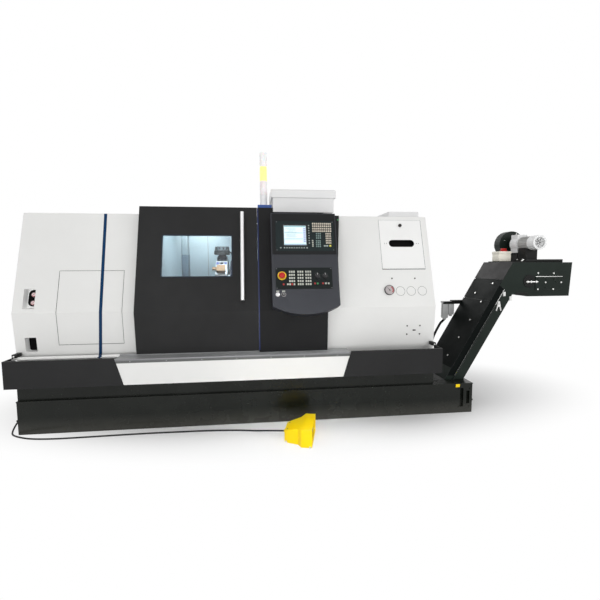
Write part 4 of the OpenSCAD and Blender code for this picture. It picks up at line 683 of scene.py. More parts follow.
# Dark blue copy of the slide paint: painted shade of the gap beside the turret disc.
slide_shaded = casting("slide_painted_shade", (0.040, 0.050, 0.080), 0.48)
tool_brass = brushed("tool_brass", (0.34, 0.20, 0.11), (200, 200, 60), 0.45, 0.45)
cutter_steel = brushed("cutter_steel", (0.050, 0.055, 0.062), (60, 60, 400), 0.55, 0.5)
cutter_pale = brushed("cutter_pale_steel", (0.20, 0.23, 0.25), (60, 60, 400), 0.5, 0.5)
screen_light = glowing("screen_light", (0.62, 0.78, 0.84), 0.40)
screen_field = glowing("screen_field", (0.72, 0.84, 0.89), 0.42)
screen_bar = glowing("screen_bar", (0.22, 0.46, 0.50), 0.25)
screen_tab = glowing("screen_tab", (0.40, 0.44, 0.68), 0.3)
lamp_glow = glowing("lamp_glow", (0.95, 1.0, 0.98), 3.0)
pane = clear_glass("window_glass", (0.93, 0.97, 0.985))

# Finishes of the solids that stay as they are

plain_finishes = {
    charcoal: "tray_ends door_panel",
    column_charcoal: "column_panel",
    tank_black: "base_tank",
    white: "tray_centre headstock_cover headstock_panel tailstock_cover",
    # The inspection lid takes the lighter copy of the white: painted light.
    lid_lit_white: "inspection_door",
    roof_white: "roof_panel outer_covers electrical_cabinet",
    liner: "chamber_liner",
    rail_grey: "door_rail",
    iron: "bed_casting headstock_casting",
    slide_grey: "saddle tailstock_body main_motor",
    # The turret slide is coloured dark blue: painted shade.
    slide_shaded: "turret_slide",
    spindle_steel: "spindle chuck_body quill jaw_1 jaw_2 jaw_3",
    turret_steel: "turret_disc",
    screw_steel: "z_screw motor_pulley",
    shaft_steel: "gear_shaft",
    slat_steel: "slat_belt",
    handle_silver: "door_handle",
    blackened: "pressure_gauges latch_knob",
    panel_green: "operator_panel",
    screen_light: "screen",
    black_plastic: "feed_knob spindle_knob mode_switch cable_gland",
    stop_red: "estop_button",
    conveyor_black: "conveyor_casing chain_guard",
    pane: "door_window",
    rubber: "drive_belt",
    dull_screw: "treadle_left treadle_right",
}
for finish, names in plain_finishes.items():
    for name in names.split():
        mesh = cad_nodes[name].data
        mesh.materials.clear()
        mesh.materials.append(finish)


def painted(node, base, *rules):
    """Finishes of a solid by the place of each face, from tests on millimetres."""
    mesh = cad_nodes[node].data
    mesh.materials.clear()
    for finish in (base, *(rule[0] for rule in rules)):
        mesh.materials.append(finish)
    unplace = WORKSHOP.inverted()
    for face in mesh.polygons:
        spot = unplace @ face.center
        face.material_index = next((i for i, rule in enumerate(rules, 1) if rule[1](spot)), 0)


# Camera, floor and light, as in a studio on white

PICTURE, FOCAL, SENSOR = 600.0, 379.84, 36.0
YAW, PITCH, ROLL = 0.1162, 0.0909, 0.0043
EYE = at(174.1, -3317.9, 1469.4)


def look():
    """Camera turned by yaw, pitch and roll from a view along +Y."""
    turn = Matrix.Rotation(-ROLL, 3, "Y") @ Matrix.Rotation(PITCH, 3, "X") @ Matrix.Rotation(YAW, 3, "Z")
    right, ahead, up = turn
    return Matrix((right, up, -ahead)).transposed()


camera = bpy.data.objects.new("camera", bpy.data.cameras.new("camera"))
camera.data.sensor_width = SENSOR
camera.data.lens = FOCAL / PICTURE * SENSOR
camera.matrix_world = Matrix.Translation(EYE) @ look().to_4x4()
camera.data.clip_end = 200.0
scene.collection.objects.link(camera)
scene.camera = camera
scene.view_settings.view_transform = "Standard"

world = bpy.data.worlds.new("studio")
world.use_nodes = True
scene.world = world
sky = world.node_tree


def seen_rays(tree):
    """1 for rays that show a background: straight, mirrored or through glass."""
    path = add_node(tree, "ShaderNodeLightPath").outputs
    mirrored = calc(tree, "MAXIMUM", path["Is Camera Ray"], path["Is Glossy Ray"])
    return calc(tree, "MAXIMUM", mirrored, path["Is Transmission Ray"])


AMBIENT = 0.40
level = output(sky, "ShaderNodeMapRange", {"Value": seen_rays(sky), "To Min": AMBIENT, "To Max": 1.0})
sky.links.new(level, sky.nodes["Background"].inputs["Strength"])
sky.nodes["Background"].inputs["Color"].default_value = (1, 1, 1, 1)


def studio_floor():
    """Pale floor that fades into the white background away from the object."""
    bm = bmesh.new()
    bmesh.ops.create_circle(bm, cap_ends=True, segments=64, radius=60)
    mesh = bpy.data.meshes.new("floor")
    bm.to_mesh(mesh)
    bm.free()
    floor = bpy.data.objects.new("floor", mesh)
    floor.location.z = -0.0005
    scene.collection.objects.link(floor)
    f = Finish("studio_floor", Roughness=0.7, Specular_IOR_Level=0.1)
    f.set("Base Color", f.mix(f.noise(0.6, 2.0), (0.90, 0.90, 0.90), (0.93, 0.93, 0.93)))
    glow = f.add("ShaderNodeEmission", {"Color": (1, 1, 1, 1), "Strength": 1.0}).outputs[0]
    around = f.stretched((1 / 3.3, 1 / 1.5, 1), (-0.2, 0.0, 0.0))
    far = f.add("ShaderNodeVectorMath", {0: around}, operation="LENGTH").outputs["Value"]
    share = f.math("MULTIPLY", f.ramp(far, 0.0, 1.0, 0.55, 1.1), seen_rays(f.tree))
    both = f.add("ShaderNodeMixShader", {0: share, 1: f.shader.outputs[0], 2: glow}).outputs[0]
    f.tree.links.new(both, f.tree.nodes["Material Output"].inputs["Surface"])
    mesh.materials.append(f.material)


studio_floor()


def soft_box(name, place, target, width, height, power, colour=(1, 1, 1), spread=180):
    lamp = bpy.data.lights.new(name, "AREA")
    lamp.shape, lamp.size, lamp.size_y = "RECTANGLE", width, height
    lamp.energy, lamp.color, lamp.spread = power, colour, radians(spread)
    obj = bpy.data.objects.new(name, lamp)
    obj.location = place
    obj.rotation_euler = (Vector(target) - Vector(place)).to_track_quat("-Z", "Y").to_euler()
    scene.collection.objects.link(obj)


soft_box("key_light", (-2.6, -6.0, 5.2), (0.4, 0, 0.9), 5.0, 3.0, 58)
soft_box("front_light", (-0.3, -9.5, 0.8), (0.3, 0, 0.9), 9.0, 2.2, 318)
soft_box("fill_light", (5.2, -5.0, 3.6), (0.8, 0, 0.9), 4.0, 3.0, 76)
soft_box("floor_light", (0.7, -3.4, 5.4), (0.53, -1.15, 0.08), 0.5, 0.5, 2.0, spread=22)
soft_box("top_light", (0.5, 0.6, 6.5), (0.5, 0, 0), 6.0, 4.0, 66)
soft_box("rear_light", (1.0, 6.5, 4.0), (0.5, 0, 1.0), 6.0, 3.0, 90)
soft_box("chamber_light", at(-150, 700, 1890), at(-250, 1250, 1200), 0.9, 0.12, 5.6, (0.82, 0.95, 1.0))
soft_box("wall_light", at(-480, 1330, 1900), at(-560, 1620, 1700), 0.35, 0.10, 0.9, (0.96, 1.0, 0.96))

# Foot switch's cable, on the route of its solid

CABLE_R = 7.0
cable_route = [
    (-1905, 330, 92), (-1940, 330, 92), (-1972, 318, 80), (-1990, 288, 58), (-1992, 246, 32),
    (-1982, 202, 14), (-1960, 160, 7), (-1920, 122, 7), (-1855, 84, 7), (-1764, 48, 7), (-1650, 27, 7),
    (-1500, 18, 7), (-1306, 20, 7), (-1046, 26, 7), (-779, 30, 7), (-505, 26, 7), (-227, 17, 7), (0, -6, 7),
    (158, -38, 9), (220, -70, 20), (276, -113, 36), (326, -149, 49), (369, -169, 55), (401.4, -176.7, 56)]


def smooth_route(points, step):
    """Points along a Catmull-Rom curve through the given ones."""
    points = [Vector(p) for p in points]
    last = len(points) - 1
    path = []
    for i in range(last):
        a, b, c, d = (points[max(i - 1, 0)], points[i], points[i + 1], points[min(i + 2, last)])
        count = max(1, round((c - b).length / step))
        for j in range(count):
            t = j / count
            path.append(0.5 * (2 * b + (c - a) * t + (2 * a - 5 * b + 4 * c - d) * t ** 2
                               + (3 * b - a - 3 * c + d) * t ** 3))
    return path + [points[last]]


cable_path = smooth_route(cable_route, 12)
cable = piece("foot_switch_cable", Shape().tube(cable_path, CABLE_R), rubber)
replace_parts(cable, "pedal_cable")

# Front covers: blue trim, recesses, gauges, screws

TRIM_LIFT = 1.2


def trim_strip(fold, stations, width):
    """Flat trim up a front cover, through pairs of X and height."""
    sections = []
    for x, z in stations:
        y = front(fold, z)
        outline = corners(x - width / 2, y - TRIM_LIFT, x + width / 2, y + 0.4)
        sections.append([(a, b, z) for a, b in outline])
    return Shape().loft(sections)


piece("blue_stripe", trim_strip(COVER, ((-1220, 640), (-1187, CREASE), (-1204, 1957)), 27), stripe_blue)
piece("column_edge_trim", trim_strip(DOOR, ((204.5, 700), (204.5, CREASE), (204.5, 2019)), 7), edge_blue)
piece("door_seal", trim_strip(DOOR + 3, ((198.3, 702), (198.3, CREASE), (198.3, 2018)), 4.4), gasket)
seam = Shape()
for x in (-1557, -1007):
    seam.loft([[(x + dx, front(COVER, z) + dy, z) for dx, dy in corners(-1.3, -0.5, 1.3, 0.4)]
               for z in (778, CREASE, 1430)])
for z in (778, 1430):
    seam.box((-275, -1.5, -0.4), (275, 1.5, 0.5), on_front(-1282, z, COVER))
piece("service_panel_seam", seam, joint_and_shade_grey)

RECESS_X = -1786.0


def sunk(spot):
    """Depth of a spot behind the sheet of the front covers."""
    return spot.y - front(COVER, spot.z)


# Walls inside the gauge recess take the brighter white: painted light in the recess.
painted("headstock_cover", white,
        (recess_painted_light, lambda spot: abs(spot.x - RECESS_X) < 75 and 3.5 < sunk(spot) < 90))
# Faces of the knock-out grooves are dark grey: painted shade in the grooves.
painted("tailstock_cover", white, (joint_and_shade_grey, lambda spot: 0.2 < sunk(spot) < 1.8 and any(
    40 < hypot(spot.x - x, spot.z - 1216) < 50 for x in (1575, 1683, 1796))))
pockets = Shape()
pockets.prism(rounded(84, 150, 40), 0, 1.5, on_front(RECESS_X + 5, 1190, COVER + 62))
pockets.prism(rounded(90, 122, 14), 0, 1.5, on_front(RECESS_X, 787, COVER + 63))
piece("recess_backs", pockets, pit_black)


def dial(name, place, radius, pointer, face, zone_from):
    """Printed gauge dial: plate, red zone from an angle on, ticks and pointer."""
    piece(name + "_plate", Shape().turned([(0, 0), (radius, 0), (radius, 0.6), (0, 0.6)], place), face)
    outer = [(radius * 0.92 * cos(a), radius * 0.92 * sin(a))
             for a in (radians(d) for d in range(zone_from, 61, 10))]
    inner = [(0.76 * x, 0.76 * y) for x, y in reversed(outer)]
    piece(name + "_red_zone", Shape().prism(outer + inner, 0.6, 0.8, place), mark_red)
    turn = place @ Matrix.Rotation(radians(pointer), 4, "Z")
    hand = Shape().prism([(-radius * 0.25, -radius * 0.05), (radius * 0.78, -radius * 0.015),
                          (radius * 0.78, radius * 0.015), (-radius * 0.25, radius * 0.05)], 1.0, 1.6, turn)
    hand.turned([(0, 0.6), (radius * 0.13, 0.6), (radius * 0.13, 2.0), (0, 2.2)], place, 20)
    piece(name + "_pointer", hand, black_plastic)
    ticks = [place @ Matrix.Rotation(radians(d), 4, "Z") @ Matrix.Translation((radius * 0.84, 0, 0.5))
             for d in range(-40, 221, 20)]
    studs(name + "_ticks", ticks, black_plastic, BLOCK, 0.5, 0.4, (radius * 0.14, radius * 0.035, 1))


for number, z in enumerate((1213, 1142), 1):
    dial(f"coolant_gauge_{number}", on_front(RECESS_X + 18, z, COVER + 65.8, 30), 18.6, 120 - 45 * number,
         dial_rose, -150)
dial("pressure_gauge", on_front(1461, 1225, COVER, 14), 43.6, 130, dial_white, -40)

cover_screws = [on_front(x, z, COVER) for x, z in (
    (1500, 1338), (1733, 1337), (1636, 795), (1636, 878), (1766, 795), (1766, 878), (1701, 834))]
studs("tailstock_cover_screws", cover_screws, blackened, ALLEN, 7.5, 4.0)
keyhole = Shape().prism(rounded(26, 12, 5), 0, 3, on_front(1712, 834, COVER), 0.8)
piece("keyhole_cover", keyhole, blackened)

LID_X, LID_Z, LID_LIFT = 1632.0, 1430.0, 0.3
LID_W, LID_TOP = 436.0, 1919.0
lid_middle = on_front(LID_X, (LID_Z + LID_TOP) / 2, COVER)
lid_h = Vector((front(COVER, LID_TOP) - front(COVER, LID_Z), LID_TOP - LID_Z)).length
lid_gasket = Shape().ring(corners(-LID_W / 2 - 2, -lid_h / 2 - 5, LID_W / 2 + 4.5, lid_h / 2 + 2.5),
                          corners(-LID_W / 2 + 8, -lid_h / 2 + 8, LID_W / 2 - 8, lid_h / 2 - 8),
                          -0.4, 0.25, lid_middle)
piece("lid_gasket", lid_gasket, gasket)
SLOT_Z = 1683.0
slot_place = on_front(LID_X, SLOT_Z, COVER, LID_LIFT)
slot_cup = Shape().prism(rounded(260, 72, 35.9), -25.9, -25.0, slot_place)
slot_cup.ring(rounded(261, 73, 36.4), rounded(257, 69, 34.4), -25.9, 2.9, slot_place)
piece("grip_slot_cup", slot_cup, pit_black, "inspection_door")
lid_screws = [slot_place @ Matrix.Translation((x, 0, 2.9)) for x in (-156, 156, -176, 176)]
studs("grip_screws", lid_screws, dull_screw, BUTTON, 4.0, 2.0, body="inspection_door")

# Door: window seal

window = on_front(-350.5, 1560, DOOR)
seal = Shape().ring(rounded(634, 406, 17), rounded(616, 388, 10), -5, 2.6, window)
piece("window_seal", seal, gasket, "door")

# Control panel

softened("control_housing", 5, slate)


def on_panel(x, z, lift=0.0):
    return on_front(x, z, PANEL, lift)


def up_panel(z):
    """Height z as a length up the panel's face."""
    return z / cos(LEAN)


FASCIA_X, FASCIA_Z = 622.5, 1763
HOLE_X, HOLE_Y = 632 - FASCIA_X, up_panel(1740 - FASCIA_Z)
outer = corners(-294, up_panel(1568 - FASCIA_Z), 294, up_panel(1945 - FASCIA_Z))
inner = corners(HOLE_X - 270.5, HOLE_Y - 146.5, HOLE_X + 270.5, HOLE_Y + 146.5)
panel_frame = Shape().ring(outer, inner, 0, 1.6, on_panel(FASCIA_X, FASCIA_Z))
piece("panel_frame", panel_frame, fascia_black)

screen_place = on_panel(540, 1745, -1.0)
bezel = Shape().ring(rounded(226, 212, 7), rounded(204, 190, 3), -1.2, 1.6, screen_place)
piece("screen_bezel", bezel, black_plastic)


def screen_boxes(name, boxes, finish, lift):
    """Plain fields of a display: middle, width and height of each."""
    shape = Shape()
    for x, y, w, h in boxes:
        shape.prism(rounded(w, h, 1.0, 2), -1.0, lift, screen_place @ Matrix.Translation((x, y, 0)))
    piece(name, shape, finish)


screen_boxes("screen_fields", ((-12, 52, 168, 48), (-12, -5, 168, 50), (-12, -58, 168, 36)),
             screen_field, -0.6)
screen_boxes("screen_bars", ((0, 88, 198, 8), (-12, 23.5, 168, 4), (-12, -35, 168, 3), (0, -88, 198, 8)),
             screen_bar, -0.5)
screen_boxes("screen_tabs", [(88, 66 - 18 * i, 20, 13) for i in range(8)]
             + [(-80 + 23 * i, -88, 19, 5) for i in range(8)], screen_tab, -0.3)
screen_boxes("screen_rows", [(-40 + 8 * (i % 3), 68 - 9 * i, 92 - 14 * (i % 4), 2.2) for i in range(5)]
             + [(-36, 10 - 9 * i, 100 - 20 * (i % 2), 2.2) for i in range(4)], screen_bar, -0.4)

PLATE_LOW, PLATE_HIGH = -1.0, 4.0
# Middle, columns, rows, pitch across and up, key width and height, plate, finish
key_blocks = [
    (791, 1819, 10, 4, 18.3, 24.3, 14, 17, PLATE_LOW, key_beige),
    (757, 1740, 3, 3, 17, 21.3, 12, 15, PLATE_LOW, key_teal),
    (753, 1668, 3, 4, 16.5, 18, 12, 14, PLATE_LOW, key_teal),
    (701, 1670, 1, 4, 0, 17.3, 14, 12, PLATE_LOW, key_pale),
    (849, 1717, 4, 5, 13.5, 22.5, 10.5, 16, PLATE_LOW, key_beige),
    (823, 1647, 2, 1, 23, 0, 19, 14, PLATE_LOW, key_grey),
    (863, 1648, 1, 1, 0, 0, 18, 18, PLATE_LOW, key_yellow),
    (669, 1754, 1, 8, 0, 24.5, 11, 12, PLATE_LOW, key_grey),
    (530, 1629, 9, 1, 22.5, 0, 13, 12, PLATE_LOW, key_grey),
    (406, 1629, 1, 1, 0, 0, 14, 12, PLATE_LOW, key_grey),
    (646, 1629, 1, 1, 0, 0, 14, 12, PLATE_LOW, key_grey),
    (498, 1356, 3, 5, 19.5, 28.9, 14.5, 18, PLATE_HIGH, key_pale),
    (574, 1356, 3, 5, 19.5, 28.9, 14.5, 18, PLATE_HIGH, key_pale),
    (645, 1356, 3, 5, 19.5, 28.9, 14.5, 18, PLATE_HIGH, key_pale),
    (440, 1301, 2, 1, 38, 0, 15, 16, PLATE_HIGH, key_pale),
    (715, 1306, 2, 1, 24, 0, 15, 16, PLATE_HIGH, key_red),
    (801, 1306, 3, 1, 26, 0, 16, 16, PLATE_HIGH, key_pale)]
special_keys = {(11, 1, 0): key_red, (14, 0, 0): key_red, (15, 1, 0): key_green, (16, 0, 0): key_red}
keys, mats = {}, Shape()
for number, (x, z, columns, rows, across, rise, wide, tall, plate, colour) in enumerate(key_blocks):
    middle = on_panel(x, z, plate)
    mats.prism(rounded((columns - 1) * across + wide, (rows - 1) * rise + tall, 1.5, 3), 0, 0.8, middle)
    for column in range(columns):
        for row in range(rows):
            spot = middle @ Matrix.Translation(((column - (columns - 1) / 2) * across,
                                                (row - (rows - 1) / 2) * rise, 0.7))
            finish = special_keys.get((number, column, row), colour)
            keys.setdefault(finish, []).append((spot, (wide - 1.0, tall - 1.0, 1)))
mats = piece("key_mats", mats, mcp_green)
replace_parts(mats, "panel_keys")
for number, (finish, tops) in enumerate(keys.items(), 1):
    studs(f"keys_{number}", [spot for spot, _ in tops], finish, BLOCK, 0.5, 3.2,
          [size for _, size in tops], 0.35)

STOP = (408, 1376)
panel_back = on_panel(*STOP).inverted()


def on_collar(spot):
    local = panel_back @ (WORKSHOP @ spot)
    return local.z > 4.2 and hypot(local.x, local.y) < 42


painted("machine_panel", mcp_green, (collar_yellow, on_collar))
stop_rings = Shape().ring(round_outline(29.5), round_outline(27.6), 9, 13, on_panel(*STOP))
piece("stop_button_skirt", stop_rings, black_plastic)

for name, body, x in (("feed", "feed_knob", 727), ("speed", "spindle_knob", 796)):
    knob = on_panel(x, 1372)
    marker = Shape().prism(rounded(2.4, 15, 1.1, 3), 27.0, 28.0, knob @ Matrix.Translation((0, 14.5, 0)))
    piece(f"{name}_knob_line", marker, button_white, body)
    scale = [knob @ Matrix.Rotation(radians(d), 4, "Z") @ Matrix.Translation((31.5, 0, 3.9))
             for d in range(-60, 241, 20)]
    studs(f"{name}_scale", scale, scale_grey, BLOCK, 0.5, 0.5, (5.0, 1.3, 1))

BUTTON_X, MODE_X, SMALL_Z = 367, 420, 1214
collars, name_plates = Shape(), Shape()
for x in (BUTTON_X, MODE_X):
    collars.ring(round_outline(20), round_outline(17.6), 0, 4.5, on_panel(x, SMALL_Z))
    name_plates.prism(rounded(26, 9, 1.5, 3), 0, 1.0, on_panel(x, SMALL_Z + 29))
piece("switch_collars", collars, chrome)
button = Shape().turned([(0, 0), (17, 0), (17, 6), (15.5, 8.5), (9, 10), (0, 10.4)],
                        on_panel(BUTTON_X, SMALL_Z))
piece("round_button", button, button_white)
switch_line = Shape().prism(rounded(2.2, 20, 1, 3), 19.2, 20.0, on_panel(MODE_X, SMALL_Z))
piece("switch_line", switch_line, button_white, "mode_switch")
piece("switch_plates", name_plates, key_pale)
corner_screws = [on_panel(x, z, lift) for xs, zs, lift in (
    ((372, 892), (1610, 1870), PLATE_LOW), ((362, 854), (1269, 1439), PLATE_HIGH)) for z in zs for x in xs]
studs("panel_screws", corner_screws, dull_screw, BUTTON, 3.2, 1.8)

edge_line = [(900, 1112), (944, 1112), (953, 1530), (988, 1946), (900, 1946)]
side_plate = Shape().prism([(x - 900, up_panel(z - 1500)) for x, z in edge_line], 1, 12,
                           on_front(900, 1500, DOOR), 1.5)
piece("panel_side_plate", side_plate, fascia_black)
ready_lamp = Shape().turned([(0, 11.5), (8, 11.5), (8, 14), (5, 16), (0, 16.5)],
                            on_front(974, 1903, DOOR), 20)
piece("ready_lamp", ready_lamp, key_green)

# Roof box and signal tower

softened("roof_box", 4, roof_white)
TOWER_X, TOWER_Y, TOWER_Z, LENS_H = 265, 500, 2055 + 101, 134
lens_profile = [(0, 0), (33, 0), (34.6, 2), (34.6, 124), (33, 128), (32, 128), (32, LENS_H), (0, LENS_H)]
lens_parts = []
for number, finish in enumerate((lens_rose, lens_yellow, lens_clear)):
    place = facing(TOWER_X, TOWER_Y, TOWER_Z + LENS_H * number, UPWARD, BACKWARD)
    lens = Shape().turned(lens_profile, place, 96, 24, 0.4)
    lens_parts.append(piece(f"tower_lens_{number + 1}", lens, finish))
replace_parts(lens_parts[0], "tower_lenses")
painted("tower_base", tower_blue, (tower_pale, lambda spot: spot.z > 2056))

# Drip tray, rail and tank

block("rail_beads", (-1020, 4.4, 671), (1020, 8.5, 679.5), 1.2, dull_screw)
# Dark strip below the rail's bead: painted shadow of the gap.
block("rail_shadow_strip", (-1020, 6.2, 646), (1020, 8.0, 668), 0, joint_and_shade_grey)
studs("rail_screws", crossings(range(-900, 901, 300), [6.2], [658], FORWARD), rail_grey, BUTTON, 4.5, 2.4)
brackets = Shape()
for side in (-1, 1):
    brackets.box((side * 1862, 120, 691), (side * 1898, 206, 722), edge=3)
piece("tray_brackets", brackets, charcoal)
studs("tray_bracket_screws", crossings((-1880, 1880), [120], [706], FORWARD), bright, HEX, 8, 5)
piece("tank_plate", Shape().prism(rounded(42, 30, 2, 3), 0, 1.2, facing(2146, 142, 278, FORWARD)), yellow)
studs("tank_bolts", crossings((2168, 2280), [150], (60, 240), FORWARD), tank_black, HEX, 9, 6)

# Swarf conveyor

RISE = radians(60)
FOOT_X, FOOT_Z, PLATE = 2078, 300, 5


def incline_x(z, inward=0):
    """X at height z, on a line that lies inward of the casing's upper side."""
    return FOOT_X + inward / sin(RISE) + (z - FOOT_Z) / tan(RISE)


def on_incline(y, z):
    """Local millimetres on the conveyor's cover plates: Z out of the plate, Y up the incline."""
    out = Vector((-sin(RISE), 0, cos(RISE)))
    return facing(*(Vector((incline_x(z), y, z)) + out * PLATE), out)


SIDE_Y = 280.0
plate_bolts = [on_incline(y, z) for y, z in (
    (410, 888), (428, 700), (442, 509), (400, 1078), (587, 1157), (382, 1270))]
studs("cover_bolts", plate_bolts, bright, HEX, 10.5, 7.0)
head_bolts = [facing(x, SIDE_Y, z, FORWARD) for x, z in ((3054, 1381), (3229, 1378))]
head_bolts += [facing(x, SIDE_Y - 8, z, FORWARD) for x, z in (
    (3135, 1285), (3311, 1284), (3052, 1215), (3224, 1215))]
studs("head_bolts", head_bolts, bright, HEX, 10, 7)
ROD_Y, ROD_Z = SIDE_Y - 15, 1292
rod = Shape().tube([(2916, ROD_Y, ROD_Z), (3046, ROD_Y, ROD_Z)], 7, 14)
for x in (2926, 2962, 3020):
    rod.turned([(0, 0), (13, 0), (13, 12), (0, 12)], facing(x, ROD_Y, ROD_Z, (1, 0, 0)), 6)
piece("tension_bolt", rod, bright)
block("tension_block", (2976, SIDE_Y - 12, 1272), (3000, SIDE_Y, 1312), 2, conveyor_black)
# Near-black disc and slot plate on the head's side: painted shade where that side lies in soft shadow.
boss = Shape().turned([(0, 0), (64, 0), (64, 5), (61, 8), (30, 8), (28, 5), (0, 5)],
                      facing(2961, SIDE_Y, 1298, FORWARD), 40)
boss.prism(rounded(139, 26, 12), 0, 3, facing(2880, SIDE_Y, 1170, FORWARD))
piece("take_up_boss_shade", boss, stand_black)
# Bright strip on the bearing plate's top edge: painted highlight where the edge catches light.
block("bearing_plate_highlight", (3024, SIDE_Y - 12, 1342), (3324, SIDE_Y, 1347), 1, bright)
# Near-black sheet on the incline's side: painted shadow of the recessed side. Bright strip along the flange:
# painted highlight of its edge.
for name, lift, finish, outline in (
        ("incline_side_strip", 1.6, cover_black, ((2, 338), (70, 338), (70, 1220), (2, 1262))),
        ("incline_bright_edge", 4.0, bright, ((70, 338), (75, 338), (75, 1216), (70, 1216)))):
    strip = Shape().loft([[(incline_x(z, inward), y, z) for inward, z in outline]
                          for y in (SIDE_Y - lift, SIDE_Y + 0.2)])
    piece(name, strip, finish)
clips = Shape()
for x, z in ((2688, 1170), (2758, 1123)):
    clips.box((x - 12, SIDE_Y - 14, z - 22), (x + 12, SIDE_Y, z + 22), edge=3)
CLIP_X = 2633
for leg in (-1, 1):
    clips.tube([(CLIP_X + leg * 4, SIDE_Y - 8, 1096), (CLIP_X + leg * 12, SIDE_Y - 9, 1050),
                (CLIP_X + leg * 25, SIDE_Y - 8, 1000)], 6, 10)
clips.box((2619, SIDE_Y - 15, 1040), (2649, SIDE_Y, 1062), edge=3)
piece("toggle_clips", clips, button_white)

painted("gearmotor", motor_silver, (stand_black, lambda spot: spot.z < 1634 and 425 < spot.y < 570),
        (stand_black, lambda spot: spot.y > 681 or spot.z < 1597.5))
# The upper cover plate takes the lighter copy of the plate paint: painted light.
painted("conveyor_covers", cover_black, (cover_plate_lit, lambda spot: spot.z > 1316))
painted("head_shaft", shaft_steel, (conveyor_black, lambda spot: spot.y < 282))
MOTOR_X, MOTOR_Z = 3090.0, 1696.0
fan = facing(MOTOR_X, 320, MOTOR_Z, FORWARD)
point = bpy.data.meshes.new("fan_middle")
point.from_pydata([(0, 0, 0)], [], [])
grown("fan_grille", GRILLE, point, motor_silver, fan, Rings=5, Step=11.0, Wire=1.9, Spokes=6)
fan_parts = Shape().turned([(0, -18), (14, -18), (16, -8), (12, -3), (0, -2)], fan, 24)
for blade in range(7):
    turn = fan @ Matrix.Rotation(2 * pi * blade / 7, 4, "Z")
    fan_parts.box((12, -3, -17), (50, 1, -7), turn @ Matrix.Rotation(0.5, 4, "X"))
piece("fan_rotor", fan_parts, black_plastic)
terminal = Shape().box((MOTOR_X + 60, 450, 1678), (MOTOR_X + 106, 540, 1738), edge=6)
terminal.tube([(MOTOR_X + 84, 458, 1696), (MOTOR_X + 84, 424, 1696)], 11)
piece("motor_terminal_box", terminal, motor_silver)
flange_bolts = crossings((MOTOR_X - 52, MOTOR_X + 52), [578], (MOTOR_Z - 88, MOTOR_Z + 88), FORWARD)
studs("gearbox_bolts", flange_bolts, bright, HEX, 6, 6)
studs("motor_stand_bolts", crossings((3008, 3172), (450, 535), [1518], UPWARD, BACKWARD), bright, HEX, 10, 8)
block("base_plate_edging", (2956, 336, 1492), (3374, 341, 1522), 1.5, stand_black)
studs("motor_foot_bolts", crossings((2960, 3220), (400, 600), [1504], UPWARD, BACKWARD), bright, HEX, 10, 8)
guard_bolts = [facing(x, 757.8, z, FORWARD) for x, z in ((2998, 1742), (3140, 1815))]
studs("guard_bolts", guard_bolts, bright, HEX, 7, 5)

JBOX = Vector((2810, 560, 1504))
box_parts = Shape().box(JBOX, JBOX + Vector((140, 125, 78)), edge=5)
box_parts.box(JBOX + Vector((-3, -3, 80)), JBOX + Vector((143, 128, 108)), edge=5)
box_parts.box(JBOX + Vector((2, 2, 77)), JBOX + Vector((138, 123, 81)))
junction = piece("junction_box", box_parts, cream)
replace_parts(junction, "conveyor_wiring")
lid_corners = [facing(JBOX.x + dx, JBOX.y + dy, JBOX.z + 108, UPWARD, BACKWARD)
               for dx in (14, 126) for dy in (14, 111)]
studs("junction_box_screws", lid_corners, dull_screw, BUTTON, 5, 3)
knob = facing(JBOX.x + 90, JBOX.y + 60, JBOX.z + 108, UPWARD, BACKWARD)
isolator = Shape().turned([(0, 0), (38, 0), (38, 8), (35, 12), (0, 12)], knob, 36)
isolator.box((-31, -10, 11), (31, 10, 34), knob, 4)
piece("isolator_switch", isolator, stop_red)

SOCKET_X, PLUG_Z, REAR_SIDE = 2332.0, 1040.0, 762.3
bracket = Shape().box((SOCKET_X - 40, REAR_SIDE, PLUG_Z - 16), (2574, REAR_SIDE + 6, PLUG_Z + 12), edge=1)
bracket.box((2534, 750.2, PLUG_Z - 13), (2571, REAR_SIDE + 3, PLUG_Z + 9), edge=1)
bracket.box((SOCKET_X + 64, REAR_SIDE, PLUG_Z + 8), (2574, REAR_SIDE + 48, PLUG_Z + 26), edge=1)
piece("plug_bracket", bracket, stand_black)
hoods, levers = Shape(), Shape()
for x, length in ((SOCKET_X - 40, 190), (SOCKET_X + 30, 150)):
    low = PLUG_Z - length
    hoods.box((x, REAR_SIDE + 4, low + 12), (x + 64, REAR_SIDE + 52, PLUG_Z - 2), edge=7)
    hoods.box((x - 6, REAR_SIDE, PLUG_Z - 4), (x + 70, REAR_SIDE + 56, PLUG_Z + 14), edge=4)
    hoods.turned([(0, -8), (17, -8), (19, 0), (22, 6), (22, 16), (0, 16)],
                 facing(x + 32, REAR_SIDE + 28, low, UPWARD, BACKWARD), 24)
    for rib in range(5):
        z = low + 32 + 20 * rib
        hoods.box((x - 2, REAR_SIDE + 6, z), (x + 66, REAR_SIDE + 50, z + 7), edge=2)
    levers.box((x - 4, REAR_SIDE + 20, PLUG_Z - 16), (x + 68, REAR_SIDE + 36, PLUG_Z - 9), edge=2)
piece("hooded_plugs", hoods, plug_grey)
piece("plug_levers", levers, bright)
lead = [(SOCKET_X - 8, 790, 848), (2298, 791, 822), (2270, 791, 790), (2196, 786, 650), (2158, 780, 520),
        (2144, 777, 400), (2140, 776, 301)]
line = bpy.data.meshes.new("lead_points")
line.from_pydata([at(*p) for p in lead], [(i, i + 1) for i in range(len(lead) - 1)], [])
grown("plug_conduit", HOSE, line, hose_black, Radius=13.0 * MM, Rib=1.2 * MM, Pitch=8.0 * MM)

